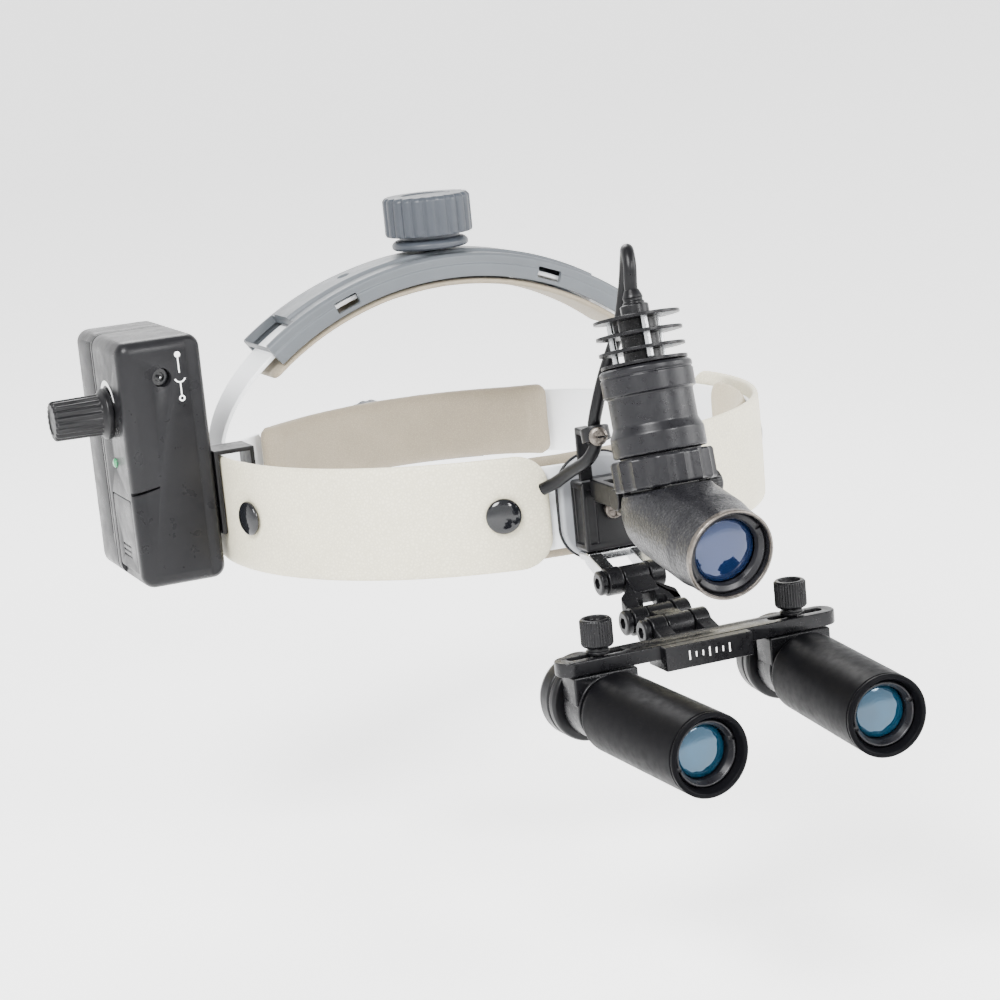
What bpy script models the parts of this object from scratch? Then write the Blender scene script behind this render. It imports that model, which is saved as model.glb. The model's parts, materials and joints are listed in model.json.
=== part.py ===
"""Headband loupes with a lamp and a battery case.

The origin is the centre of the headband ring at half its height.
The wearer looks along -Y, the wearer's right is -X and +Z is up.
Sizes are in millimetres; MM turns them into Blender's metres.
"""
from math import acos, atan2, cos, degrees, pi, radians, sin, sqrt

import bmesh
import bpy
from mathutils import Matrix, Vector

MM = 0.001
GAP = 0.3                     # clearance between neighbouring pieces

# ---- head ring --------------------------------------------------------
RING_LENGTH = 200.0           # free length, front to back, outside the pads
RING_WIDTH = 191.4            # width outside the pads
RING_TAPER = 0.09             # the back half is narrower than the front
BAND_HEIGHT = 27.0
BAND_THICK = 1.6
BAND_INSET = 2.3              # from the ring's outside to the band
BAND_TAB_Y = 33.0             # where the band's straight rear tabs end
TAB_STEP = 1.2                # the tabs step outwards past the pads
PAD_HEIGHT = 36.6
PAD_THICK = 1.9
PAD_CORNER = 9.0
PAD_FRONT_DEG = 8.5
PAD_REAR_DEG = 98.0
LINER_THICK = 3.0
SNAP_DEG = (17.0, 72.0)
SNAP_RADIUS = 5.7
PLATE_WIDTH = 26.6
PLATE_HEIGHT = 34.0
PLATE_THICK = 4.0

# ---- rear ratchet -----------------------------------------------------
REAR_CENTRE_Y = 14.9          # centre of the arc the rear straps follow
REAR_RADIUS = 85.0            # outside of the rear straps
REAR_LEVEL = -3.0             # height of the rear knob's axis
REAR_STRAP_HEIGHT = 24.0
REAR_KNOB_RADIUS = 12.6

# ---- crown band -------------------------------------------------------
CROWN_Y = 25.5                # the crown band runs ear to ear in this plane
CROWN_WIDTH = 31.0
CROWN_RADIUS = 114.5          # outside of the channel
CROWN_CENTRE_Z = -42.0
CROWN_HALF_DEG = 37.0
CROWN_KNOB_RADIUS = 15.6
SIDE_STRAP_X = 87.1           # middle of the crown straps beside the head
RIVET_Y = 25.0

# ---- ratchet teeth ----------------------------------------------------
PINION_TEETH = 12
PINION_TIP = 4.9
PINION_ROOT = 3.3
PINION_PITCH = 4.2

# ---- loupes -----------------------------------------------------------
FORK_Y, FORK_Z = -122.5, -20.5        # upper hinge
ELBOW_Y, ELBOW_Z = -139.0, -30.0      # middle hinge
YOKE_Y, YOKE_Z = -151.5, -30.5        # lower hinge
KNUCKLE_RADIUS = 4.4
PIN_RADIUS = 1.8
BAR_LENGTH = 92.0
BAR_BACK, BAR_FRONT = -159.5, -169.0
BAR_TOP, BAR_THICK = -30.5, 4.3
PUPIL_DISTANCE = 64.5
BARREL_RADIUS = 12.2
BARREL_LENGTH = 53.5
NECK_RADIUS = 8.8
BARREL_Z = -46.0
CONVERGE_DEG = 4.0
DECLINE_DEG = 1.6

# ---- lamp -------------------------------------------------------------
LAMP_Y, LAMP_Z = -151.4, 17.5         # middle of the aperture ring
LAMP_LEAN_DEG = 12.7
NOSE_Y, NOSE_Z = -191.0, -1.9         # middle of the front lens
CORNER_Y, CORNER_Z = -154.2, 4.6      # where nose and barrel axes meet
TILT_Y, TILT_Z = -133.0, 7.0
ELBOW_RADIUS = 14.3
LAMP_BORE = 10.4
CABLE_RADIUS = 2.0

# ---- battery case -----------------------------------------------------
CASE_OUT, CASE_IN = -127.5, -98.7
CASE_FRONT, CASE_BACK = -14.0, 44.0
CASE_LOW, CASE_TOP = -22.0, 61.0
CASE_SPLIT = 20.0
CASE_WALL = 2.6
CASE_CORNER = 4.5
DIMMER_Y, DIMMER_Z = 6.0, 36.0
SOCKET_RADIUS = 3.2


# ---- finishes: colour, roughness, metallic, and the pieces that have them -
FINISHES = {
    "white_plastic": ((0.84, 0.85, 0.86), 0.38, 0.0, (
        "front_band", "brow_plate", "rear_strap_right", "rear_strap_left", "crown_strap_right",
        "crown_strap_left",)),
    "liner": ((0.38, 0.34, 0.27), 0.75, 0.0, (
        "brow_pad", "side_liner_right", "side_liner_left", "rear_pad", "crown_liner",)),
    "pad_leather": ((0.69, 0.68, 0.6), 0.5, 0.0, (
        "side_pad_right", "side_pad_left",)),
    "snap": ((0.02, 0.02, 0.022), 0.12, 0.0, (
        "snap_front_right", "snap_rear_right", "snap_front_left", "snap_rear_left",
        "side_rivet_right", "side_rivet_left",)),
    "black_plastic": ((0.03, 0.03, 0.032), 0.4, 0.0, (
        "mount_block", "band_clip", "clamp_right", "clamp_left", "eyepiece_right",
        "eyepiece_left", "dimmer_knob",)),
    "black_screw": ((0.03, 0.03, 0.03), 0.4, 0.6, (
        "block_screw", "fork_pin", "link_pin_upper", "link_pin_lower",)),
    "steel": ((0.6, 0.61, 0.63), 0.25, 1.0, (
        "loupe_fork",)),
    "black_metal": ((0.02, 0.02, 0.022), 0.34, 0.4, (
        "lamp_arm", "cable_clip", "upper_link", "lower_link", "bridge_bar", "thumbscrew_right",
        "thumbscrew_left", "tilt_knob",)),
    "cable": ((0.015, 0.015, 0.017), 0.4, 0.0, (
        "band_cable", "lamp_cable",)),
    "case_plastic": ((0.045, 0.045, 0.05), 0.42, 0.0, (
        "case_front", "case_back", "battery_door",)),
    "battery": ((0.1, 0.2, 0.45), 0.3, 0.0, (
        "battery_pack",)),
    "led": ((0.05, 0.5, 0.25), 0.2, 0.0, (
        "power_led",)),
    "grey_plastic": ((0.24, 0.26, 0.28), 0.42, 0.0, (
        "rear_housing", "rear_knob", "crown_housing", "crown_knob",)),
    "barrel_black": ((0.022, 0.022, 0.025), 0.42, 0.2, (
        "barrel_right", "barrel_left",)),
    "lens_glass": ((0.12, 0.25, 0.4), 0.05, 0.0, (
        "objective_right", "objective_left", "lamp_lens",)),
    "lamp_black": ((0.028, 0.028, 0.031), 0.34, 0.4, (
        "elbow_housing", "lamp_barrel", "heat_sink", "aperture_ring",)),
    "mirror": ((0.9, 0.9, 0.9), 0.05, 1.0, (
        "lamp_mirror",)),
}

# ---- where each turning piece's axis passes, in millimetres ----------------
PIVOTS = {
    "crown_knob": (0, 25.5, 85.0),
    "crown_strap_right": (0, 25.5, -42.0),
    "crown_strap_left": (0, 25.5, -42.0),
    "rear_knob": (0, 110.0, -3.0),
    "rear_strap_right": (0, 14.9, 0),
    "rear_strap_left": (0, 14.9, 0),
    "upper_link": (0, -122.5, -20.5),
    "link_pin_upper": (0, -122.5, -20.5),
    "lower_link": (0, -139.0, -30.0),
    "link_pin_lower": (0, -139.0, -30.0),
    "bridge_bar": (0, -151.5, -30.5),
    "thumbscrew_right": (-32.25, -164.3, -24.0),
    "thumbscrew_left": (32.25, -164.3, -24.0),
    "eyepiece_right": (-32.25, -163.8, -46.0),
    "eyepiece_left": (32.25, -163.8, -46.0),
    "elbow_housing": (0, -133.0, 7.0),
    "lamp_mirror": (0, -133.0, 7.0),
    "lamp_lens": (0, -133.0, 7.0),
    "lamp_barrel": (0, -133.0, 7.0),
    "heat_sink": (0, -133.0, 7.0),
    "lamp_cable": (0, -133.0, 7.0),
    "aperture_ring": (0, -151.4, 17.5),
    "tilt_knob": (24.0, -133.0, 7.0),
    "dimmer_knob": (-135.0, 6.0, 36.0),
}


# ======================================================================
# helpers
# ======================================================================
def clear_scene():
    for item in list(bpy.data.objects):
        bpy.data.objects.remove(item, do_unlink=True)


def add_mesh(name, points, faces):
    mesh = bpy.data.meshes.new(name)
    mesh.from_pydata([tuple(c * MM for c in p) for p in points], [], faces)
    mesh.validate()
    body = bmesh.new()
    body.from_mesh(mesh)
    bmesh.ops.recalc_face_normals(body, faces=body.faces)
    body.to_mesh(mesh)
    body.free()
    item = bpy.data.objects.new(name, mesh)
    bpy.context.scene.collection.objects.link(item)
    return item


def boolean(target, tools, operation):
    """Apply one Boolean per tool and drop the tools."""
    for tool in tools:
        step = target.modifiers.new("step", 'BOOLEAN')
        step.operation = operation
        step.solver = 'EXACT'
        step.object = tool
        graph = bpy.context.evaluated_depsgraph_get()
        mesh = bpy.data.meshes.new_from_object(target.evaluated_get(graph))
        target.modifiers.clear()
        target.data = mesh
        mesh.name = target.name
        bpy.data.objects.remove(tool, do_unlink=True)
    return target


def cut(target, *tools):
    return boolean(target, tools, 'DIFFERENCE')


def join(target, *tools):
    return boolean(target, tools, 'UNION')


def axis_frame(axis):
    """Two directions across an axis, right-handed with it."""
    w = Vector(axis).normalized()
    side = Vector((0, 0, 1)) if abs(w.z) < 0.9 else Vector((0, 1, 0))
    u = side.cross(w).normalized()
    return u, w.cross(u), w


def lathe(name, origin, axis, profile, steps=16, closed=False):
    """Turn (radius, height) pairs about an axis.

    closed joins the last pair to the first, for rings; otherwise both
    ends are capped.
    """
    u, v, w = axis_frame(axis)
    origin = Vector(origin)
    points, faces = [], []
    for radius, height in profile:
        for k in range(steps):
            a = 2 * pi * k / steps
            points.append(origin + u * (radius * cos(a)) + v * (radius * sin(a))
                          + w * height)
    rows = len(profile)
    for i in range(rows if closed else rows - 1):
        lower, upper = i * steps, ((i + 1) % rows) * steps
        for k in range(steps):
            n = (k + 1) % steps
            faces.append((lower + k, lower + n, upper + n, upper + k))
    if not closed:
        faces.append(tuple(reversed(range(steps))))
        last = (rows - 1) * steps
        faces.append(tuple(range(last, last + steps)))
    return add_mesh(name, points, faces)


def rod(name, start, end, radius, steps=12):
    start, end = Vector(start), Vector(end)
    return lathe(name, start, end - start,
                 [(radius, 0), (radius, (end - start).length)], steps)


def ring(name, origin, axis, inner, outer, low, high, steps=16):
    profile = [(outer, low), (outer, high), (inner, high), (inner, low)]
    return lathe(name, origin, axis, profile, steps, closed=True)


def block(name, low, high):
    (x0, y0, z0), (x1, y1, z1) = low, high
    points = [(x0, y0, z0), (x1, y0, z0), (x1, y1, z0), (x0, y1, z0),
              (x0, y0, z1), (x1, y0, z1), (x1, y1, z1), (x0, y1, z1)]
    faces = [(0, 3, 2, 1), (4, 5, 6, 7), (0, 1, 5, 4),
             (1, 2, 6, 5), (2, 3, 7, 6), (3, 0, 4, 7)]
    return add_mesh(name, points, faces)


def prism(name, outline, place, low, high):
    """Extrude a flat outline; place maps (a, b, height) to a point.

    (a, b, height) must map to a right-handed frame.
    """
    count = len(outline)
    points = [place(a, b, low) for a, b in outline]
    points += [place(a, b, high) for a, b in outline]
    faces = [tuple(reversed(range(count))), tuple(range(count, 2 * count))]
    for k in range(count):
        n = (k + 1) % count
        faces.append((k, n, count + n, count + k))
    return add_mesh(name, points, faces)


def rounded_outline(a0, a1, b0, b1, radius, steps=4):
    """Counter-clockwise rectangle with round corners."""
    corners = ((a1 - radius, b0 + radius, -90), (a1 - radius, b1 - radius, 0),
               (a0 + radius, b1 - radius, 90), (a0 + radius, b0 + radius, 180))
    outline = []
    for a, b, start in corners:
        for k in range(steps + 1):
            t = radians(start + 90 * k / steps)
            outline.append((a + radius * cos(t), b + radius * sin(t)))
    return outline


def flat_xy(a, b, h):
    return (a, b, h)


def flat_xz(a, b, h):
    return (a, -h, b)


def flat_yz(a, b, h):
    return (h, a, b)


def strip(name, stations):
    """Loft a flat strap; each station is (middle, outward, across, low, high, depth).

    The outer face passes through the middle line, and the strap is
    depth thick inwards.
    """
    points, faces = [], []
    for middle, outward, across, low, high, depth in stations:
        m, n, c = Vector(middle), Vector(outward), Vector(across)
        points += [m + c * low, m + c * high,
                   m + c * high - n * depth, m + c * low - n * depth]
    count = len(stations)
    for i in range(count - 1):
        a, b = 4 * i, 4 * (i + 1)
        for k in range(4):
            n = (k + 1) % 4
            faces.append((a + k, a + n, b + n, b + k))
    faces += [(3, 2, 1, 0), tuple(4 * (count - 1) + k for k in range(4))]
    return add_mesh(name, points, faces)


def tube_along(name, path, radius, steps=8):
    """A round cable through the given points."""
    pts = [Vector(p) for p in path]
    points, faces = [], []
    side = None
    for i, p in enumerate(pts):
        w = (pts[min(i + 1, len(pts) - 1)] - pts[max(i - 1, 0)]).normalized()
        if side is None:
            side = axis_frame(w)[0]
        side = (side - w * side.dot(w)).normalized()
        other = w.cross(side)
        for k in range(steps):
            a = 2 * pi * k / steps
            points.append(p + side * (radius * cos(a)) + other * (radius * sin(a)))
    for i in range(len(pts) - 1):
        for k in range(steps):
            n = (k + 1) % steps
            faces.append((i * steps + k, i * steps + n,
                          (i + 1) * steps + n, (i + 1) * steps + k))
    faces.append(tuple(reversed(range(steps))))
    last = (len(pts) - 1) * steps
    faces.append(tuple(range(last, last + steps)))
    return add_mesh(name, points, faces)


def smooth_path(points, per_span=5):
    """Catmull-Rom through the points."""
    pts = [Vector(p) for p in points]
    path = []
    for i in range(len(pts) - 1):
        p0, p1, p2 = pts[max(i - 1, 0)], pts[i], pts[i + 1]
        p3 = pts[min(i + 2, len(pts) - 1)]
        for k in range(per_span):
            t = k / per_span
            path.append(0.5 * ((2 * p1) + (p2 - p0) * t
                        + (2 * p0 - 5 * p1 + 4 * p2 - p3) * t * t
                        + (3 * p1 - p0 - 3 * p2 + p3) * t ** 3))
    path.append(pts[-1])
    return path


# ======================================================================
# curves the straps follow
# ======================================================================
def ring_station(deg):
    """Point and outward direction on the outside of the pads; 0 is the front
    and positive angles go to the wearer's right."""
    half, wide = RING_LENGTH / 2, RING_WIDTH / 2
    a = radians(deg)
    x = -wide * sin(a) * (1 + RING_TAPER * cos(a))
    y = -half * cos(a)
    dx = -wide * (cos(a) + RING_TAPER * cos(2 * a))
    dy = half * sin(a)
    return Vector((x, y, 0)), Vector((dy, -dx, 0)).normalized() * (-1)


def ring_out(deg):
    point, normal = ring_station(deg)
    return point, (normal if normal.dot(point) > 0 else -normal)


def leaf(name, start, end, inset, depth, height, corner, steps):
    """A pad following the ring, with round corners."""
    stations = []
    length = radians(abs(end - start)) * 95.0
    half = height / 2
    spots = set()
    for k in range(steps + 1):
        spots.add(round(length * k / steps, 4))
    if corner:
        spots = {s for s in spots if corner <= s <= length - corner}
        for k in range(5):
            s = corner * (1 - cos(radians(90 * k / 4)))
            spots.update((round(s, 4), round(length - s, 4)))
    for s in sorted(spots):
        deg = start + (end - start) * s / length
        point, normal = ring_out(deg)
        edge = min(s, length - s)
        reach = half
        if corner and edge < corner:
            reach = half - corner + sqrt(max(0.0, corner ** 2 - (corner - edge) ** 2))
            reach = max(reach, half - corner)
        stations.append((point - normal * inset, normal, (0, 0, 1), -reach, reach, depth))
    return strip(name, stations)


def rear_point(deg, radius=REAR_RADIUS):
    """Rear arc: 0 is the back, positive angles go to the wearer's left."""
    a = radians(deg)
    normal = Vector((sin(a), cos(a), 0))
    return Vector((0, REAR_CENTRE_Y, 0)) + normal * radius, normal


def crown_point(deg, radius):
    """Crown arc: 0 is the top, positive angles go to the wearer's left."""
    a = radians(deg)
    normal = Vector((sin(a), 0, cos(a)))
    return Vector((0, CROWN_Y, CROWN_CENTRE_Z)) + normal * radius, normal


def rack_edges(tip_deg, root_deg, pitch_deg):
    """(angle, reach) pairs of rack teeth; a gap sits at angle 0.

    reach is the tooth edge's distance from the pinion's axis.
    """
    tip, root = PINION_ROOT + 0.35, PINION_TIP + 0.3
    pairs = []
    count = int(tip_deg / pitch_deg)
    for k in range(-count, count):
        middle = (k + 0.5) * pitch_deg
        pairs += [(middle - 0.21 * pitch_deg, root), (middle - 0.11 * pitch_deg, tip),
                  (middle + 0.11 * pitch_deg, tip), (middle + 0.21 * pitch_deg, root)]
    return pairs


def pinion(name, origin, axis, low, high, turn_deg):
    """A straight-cut pinion with a tooth at turn_deg and opposite it."""
    u, v, w = axis_frame(axis)
    outline = []
    step = 2 * pi / PINION_TEETH
    for k in range(PINION_TEETH):
        a = radians(turn_deg) + k * step
        outline += [(PINION_ROOT, a - 0.24 * step), (PINION_TIP, a - 0.10 * step),
                    (PINION_TIP, a + 0.10 * step), (PINION_ROOT, a + 0.24 * step)]
    flat = [(r * cos(a), r * sin(a)) for r, a in outline]
    origin = Vector(origin)
    return prism(name, flat, lambda a, b, h: origin + u * a + v * b + w * h, low, high)


# ======================================================================
# head ring
# ======================================================================
def build_band():
    stations = []
    outline = [(k, None) for k in range(-93, 94, 6)]
    tab_x = abs(ring_out(98)[0].x) - BAND_INSET
    for y in (BAND_TAB_Y, BAND_TAB_Y - 6, 18.5, 14.5, 11.5):
        reach = BAND_HEIGHT / 2 - (5.0 if y > BAND_TAB_Y - 1 else 0.0)
        x = tab_x + (TAB_STEP if y > 15 else 0.0)
        stations.append(((x, y, 0), (1, 0, 0), (0, 0, 1), -reach, reach, BAND_THICK))
    for deg, _ in outline:
        point, normal = ring_out(deg)
        stations.append((point - normal * BAND_INSET, normal, (0, 0, 1),
                         -BAND_HEIGHT / 2, BAND_HEIGHT / 2, BAND_THICK))
    for y in (11.5, 14.5, 18.5, BAND_TAB_Y - 6, BAND_TAB_Y):
        reach = BAND_HEIGHT / 2 - (5.0 if y > BAND_TAB_Y - 1 else 0.0)
        x = tab_x + (TAB_STEP if y > 15 else 0.0)
        stations.append(((-x, y, 0), (-1, 0, 0), (0, 0, 1), -reach, reach, BAND_THICK))
    band = strip("front_band", stations)
    holes = []
    for side in (1, -1):
        for deg in SNAP_DEG:
            point, normal = ring_out(side * deg)
            holes.append(rod("hole", point + normal, point - normal * 6, 1.9, 8))
        holes.append(rod("hole", (-side * (tab_x - 4), RIVET_Y, 0),
                         (-side * (tab_x + 4), RIVET_Y, 0), 2.1, 8))
    holes.append(rod("hole", (0, -104, 0), (0, -92, 0), 1.9, 8))
    cut(band, *holes)


def build_side(side, word):
    """One side's pad, liner, snaps and rivet; side is 1 on the wearer's right."""
    pad = leaf(f"side_pad_{word}", side * PAD_FRONT_DEG, side * PAD_REAR_DEG, 0.0,
               PAD_THICK, PAD_HEIGHT, PAD_CORNER, 10)
    liner = leaf(f"side_liner_{word}", side * 10.5, side * 87.5,
                 BAND_INSET + BAND_THICK + GAP, LINER_THICK, PAD_HEIGHT - 1.0, 8.0, 12)
    for name, deg in zip(("front", "rear"), SNAP_DEG):
        point, normal = ring_out(side * deg)
        cut(pad, rod("hole", point + normal, point - normal * 3, 1.9, 8))
        cut(liner, rod("hole", point, point - normal * 10, 2.6, 8))
        lathe(f"snap_{name}_{word}", point, normal,
              [(1.55, -5.4), (1.55, 0.45), (SNAP_RADIUS, 0.5), (SNAP_RADIUS, 1.0),
               (4.7, 2.0), (2.8, 2.7), (0.9, 2.95)], 10)
    tab_x = abs(ring_out(98)[0].x) - BAND_INSET
    lathe(f"side_rivet_{word}", (-side * (tab_x + TAB_STEP + 0.3), RIVET_Y, 0), (-side, 0, 0),
          [(4.0, -13.4), (4.0, -12.2), (1.75, -12.1), (1.75, 0.0), (4.6, 0.05),
           (4.6, 0.6), (2.6, 1.5)], 14)


def build_front():
    low = -17.6
    plate = prism("brow_plate", rounded_outline(-PLATE_WIDTH / 2, PLATE_WIDTH / 2, low,
                                                low + PLATE_HEIGHT, 11.0, 5),
                  flat_xz, 98.3, 98.3 + PLATE_THICK)
    cut(plate, rod("hole", (0, -110, 0), (0, -90, 0), 1.9, 8))
    face = -(98.3 + PLATE_THICK + GAP)
    mount = block("mount_block", (-10, -111.8, -13), (10, face, 9.4))
    cut(mount, rod("hole", (0, -115, 0), (0, -90, 0), 1.9, 12),
        block("slot", (-4.6, -113, 4.0), (4.6, -108.5, 12)))
    lathe("block_screw", (0, -112.1, 0), (0, -1, 0),
          [(1.55, -17.4), (1.55, 0.0), (3.2, 0.05), (3.2, 1.4), (2.4, 2.0)], 14)
    stations = []
    for k in range(-7, 8):
        deg = 26.0 * k / 7
        point, normal = ring_out(deg)
        reach = (14.0, 17.0)[abs(k) < 7]
        stations.append((point - normal * 7.7, normal, (0, 0, 1), -reach - 2.0, reach, 4.6))
    strip("brow_pad", stations)


# ======================================================================
# rear ratchet
# ======================================================================
def build_rear():
    pitch = degrees(2 * pi * PINION_PITCH / PINION_TEETH / (REAR_RADIUS - BAND_THICK / 2))
    for word, side, level in (("right", -1, -1), ("left", 1, 1)):
        wide = REAR_STRAP_HEIGHT / 2
        stations = []
        for deg in (94, 88, 82, 74, 66, 58, 50, 42, 34, 26):
            point, normal = rear_point(side * deg)
            reach = wide - (4.0 if deg == 94 else 0.0)
            top = reach if deg > 41 else 9.4 + REAR_LEVEL
            stations.append((point, normal, (0, 0, 1), -reach, top, BAND_THICK))
        edges = [(25.9, 5.2), (16.0, 5.2)]
        teeth = [(a, r) for a, r in rack_edges(9.0, 0, pitch)]
        edges += sorted(teeth, reverse=True) + [(-12.0, 5.2)]
        for deg, reach in edges:
            point, normal = rear_point(side * deg)
            low, high = (reach, 9.4) if level > 0 else (-9.0, -reach)
            stations.append((point, normal, (0, 0, 1),
                             low + REAR_LEVEL, high + REAR_LEVEL, BAND_THICK))
        strap = strip(f"rear_strap_{word}", stations)
        cut(strap, rod("hole", (side * 78, RIVET_Y, 0), (side * 95, RIVET_Y, 0), 3.4, 10))

    def channel(deg, inner, outer, low, high):
        point, normal = rear_point(deg, outer)
        return (point, normal, (0, 0, 1), low, high, outer - inner)

    spots = [-27 + 54 * k / 12 for k in range(13)]
    housing = strip("rear_housing", [channel(d, 80.8, 88.2, -15.6, 9.2) for d in spots])
    hollow = strip("hollow", [channel(1.2 * d, 79.0, 85.8, -13.2, 7.2) for d in spots])
    cut(housing, hollow,
        rod("hole", (0, 90, REAR_LEVEL), (0, 115, REAR_LEVEL), 3.2, 14))
    lathe("rear_knob", (0, REAR_CENTRE_Y, REAR_LEVEL), (0, 1, 0),
          [(2.6, 82.2), (2.6, 88.5), (10.0, 88.6), (10.0, 90.6), (REAR_KNOB_RADIUS, 90.7),
           (REAR_KNOB_RADIUS, 99.4), (11.0, 100.6)], 16)
    knob = bpy.data.objects["rear_knob"]
    join(knob, pinion("gear", (0, REAR_CENTRE_Y, REAR_LEVEL), (0, 1, 0), 82.5, 85.5, 90.0))
    cushion = []
    for k in range(-10, 11):
        trim = 2.0 if abs(k) == 10 else 0.0
        cushion.append(channel(4.8 * k, 73.4, 80.5, -15.5 + trim, 13.0 - trim))
    strip("rear_pad", cushion)


# ======================================================================
# crown band
# ======================================================================
def build_crown():
    def arch(deg, inner, outer, low, high):
        point, normal = crown_point(deg, outer)
        return (point, normal, (0, 1, 0), low, high, outer - inner)

    half = CROWN_WIDTH / 2
    spots = [CROWN_HALF_DEG * k / 10 for k in range(-10, 11)]
    housing = strip("crown_housing",
                    [arch(d, 106.2, CROWN_RADIUS, -half, half) for d in spots])
    rib = strip("rib", [arch(d * 0.98, 113.5, CROWN_RADIUS + 1.3, -7.5, 7.5) for d in spots])
    join(housing, rib)
    hollow = strip("hollow", [arch(d * 1.1, 105.0, 111.6, -half + 2.2, half - 2.2)
                              for d in spots])
    cut(housing, hollow,
        rod("hole", (0, CROWN_Y, 60), (0, CROWN_Y, 90), 3.2, 14))
    windows = []
    for deg in (-20.5, 20.5):
        point, normal = crown_point(deg, 109.6)
        tool = block("window", (-4.5, -40, -2.0), (4.5, 40, 2.0))
        tool.data.transform(Matrix.Translation(point * MM)
                            @ Matrix.Rotation(radians(deg), 4, 'Y'))
        windows.append(tool)
    cut(housing, *windows)
    strip("crown_liner", [arch(d * 1.1, 103.3, 105.8, -half + 0.5, half - 0.5)
                          for d in spots])

    pitch = degrees(2 * pi * PINION_PITCH / PINION_TEETH / 109.4)
    for word, side, level in (("right", -1, 1), ("left", 1, -1)):
        stations = []
        outer, depth = 110.2, 1.6
        teeth = sorted(rack_edges(8.0, 0, pitch))
        for deg, reach in [(-9.5, 5.2)] + teeth + [(12.0, 5.2), (17.9, 5.2)]:
            low, high = (reach, 9.4) if level > 0 else (-9.4, -reach)
            point, normal = crown_point(side * deg, outer)
            stations.append((point, normal, (0, 1, 0), low, high, depth))
        for deg in (18, 23, 28, 33, 36):
            wide = 11.0
            point, normal = crown_point(side * deg, outer)
            stations.append((point, normal, (0, 1, 0), -wide, wide, depth))
        start, normal = crown_point(side * 36, outer)
        slope = Vector((normal.z * side, 0, -abs(normal.x)))
        drop = Vector((side * (SIDE_STRAP_X + depth / 2), CROWN_Y, 12.0))
        for k in range(1, 8):
            t = k / 7
            p = ((1 - t) ** 3 * start + 3 * (1 - t) ** 2 * t * (start + slope * 14)
                 + 3 * (1 - t) * t * t * (drop + Vector((0, 0, 14))) + t ** 3 * drop)
            q = (3 * (1 - t) ** 2 * (slope * 14)
                 + 6 * (1 - t) * t * (drop + Vector((0, 0, 14)) - start - slope * 14)
                 + 3 * t * t * Vector((0, 0, -14)))
            q.normalize()
            n = Vector((-q.z, 0, q.x)) * side
            wide = 11.0 - 3.8 * t
            stations.append((p, n, (0, 1, 0), -wide, wide, depth))
        for z, wide in ((4.0, 7.2), (-3.0, 7.0), (-7.0, 4.5)):
            stations.append(((side * (SIDE_STRAP_X + depth / 2), CROWN_Y, z),
                             (side, 0, 0), (0, 1, 0), -wide, wide, depth))
        strap = strip(f"crown_strap_{word}", stations)
        cut(strap, rod("hole", (side * 70, RIVET_Y, 0), (side * 95, RIVET_Y, 0), 2.5, 10))
    lathe("crown_knob", (0, CROWN_Y, 0), (0, 0, 1),
          [(2.6, 65.6), (2.6, 74.5), (10.0, 74.6), (10.0, 76.4), (13.2, 76.6),
           (13.2, 78.8), (CROWN_KNOB_RADIUS, 79.0), (CROWN_KNOB_RADIUS, 92.4),
           (CROWN_KNOB_RADIUS - 1.2, 93.6)], 16)
    join(bpy.data.objects["crown_knob"],
         pinion("gear", (0, CROWN_Y, 0), (0, 0, 1), 65.9, 69.0, 90.0))


# ======================================================================
# loupes
# ======================================================================
def knuckle(name, y, z, x0, x1, radius=KNUCKLE_RADIUS):
    return rod(name, (x0, y, z), (x1, y, z), radius, 10)


def web(name, start, end, x0, x1, half_start, half_end):
    """A flat link between two hinge axes, tapering from one to the other."""
    (y0, z0), (y1, z1) = start, end
    length = sqrt((y1 - y0) ** 2 + (z1 - z0) ** 2)
    ny, nz = -(z1 - z0) / length, (y1 - y0) / length
    outline = [(y0 + ny * half_start, z0 + nz * half_start),
               (y0 - ny * half_start, z0 - nz * half_start),
               (y1 - ny * half_end, z1 - nz * half_end),
               (y1 + ny * half_end, z1 + nz * half_end)]
    area = sum(outline[k][0] * outline[(k + 1) % 4][1]
               - outline[(k + 1) % 4][0] * outline[k][1] for k in range(4))
    if area < 0:
        outline.reverse()
    return prism(name, outline, flat_yz, x0, x1)


def hinge_pin(name, y, z):
    pin = lathe(name, (0, y, z), (-1, 0, 0),
                [(PIN_RADIUS, -9.9), (PIN_RADIUS, 9.9), (3.9, 10.0), (3.9, 12.2)], 14)
    cut(pin, rod("socket", (-14, y, z), (-10.9, y, z), 1.9, 6))


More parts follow.
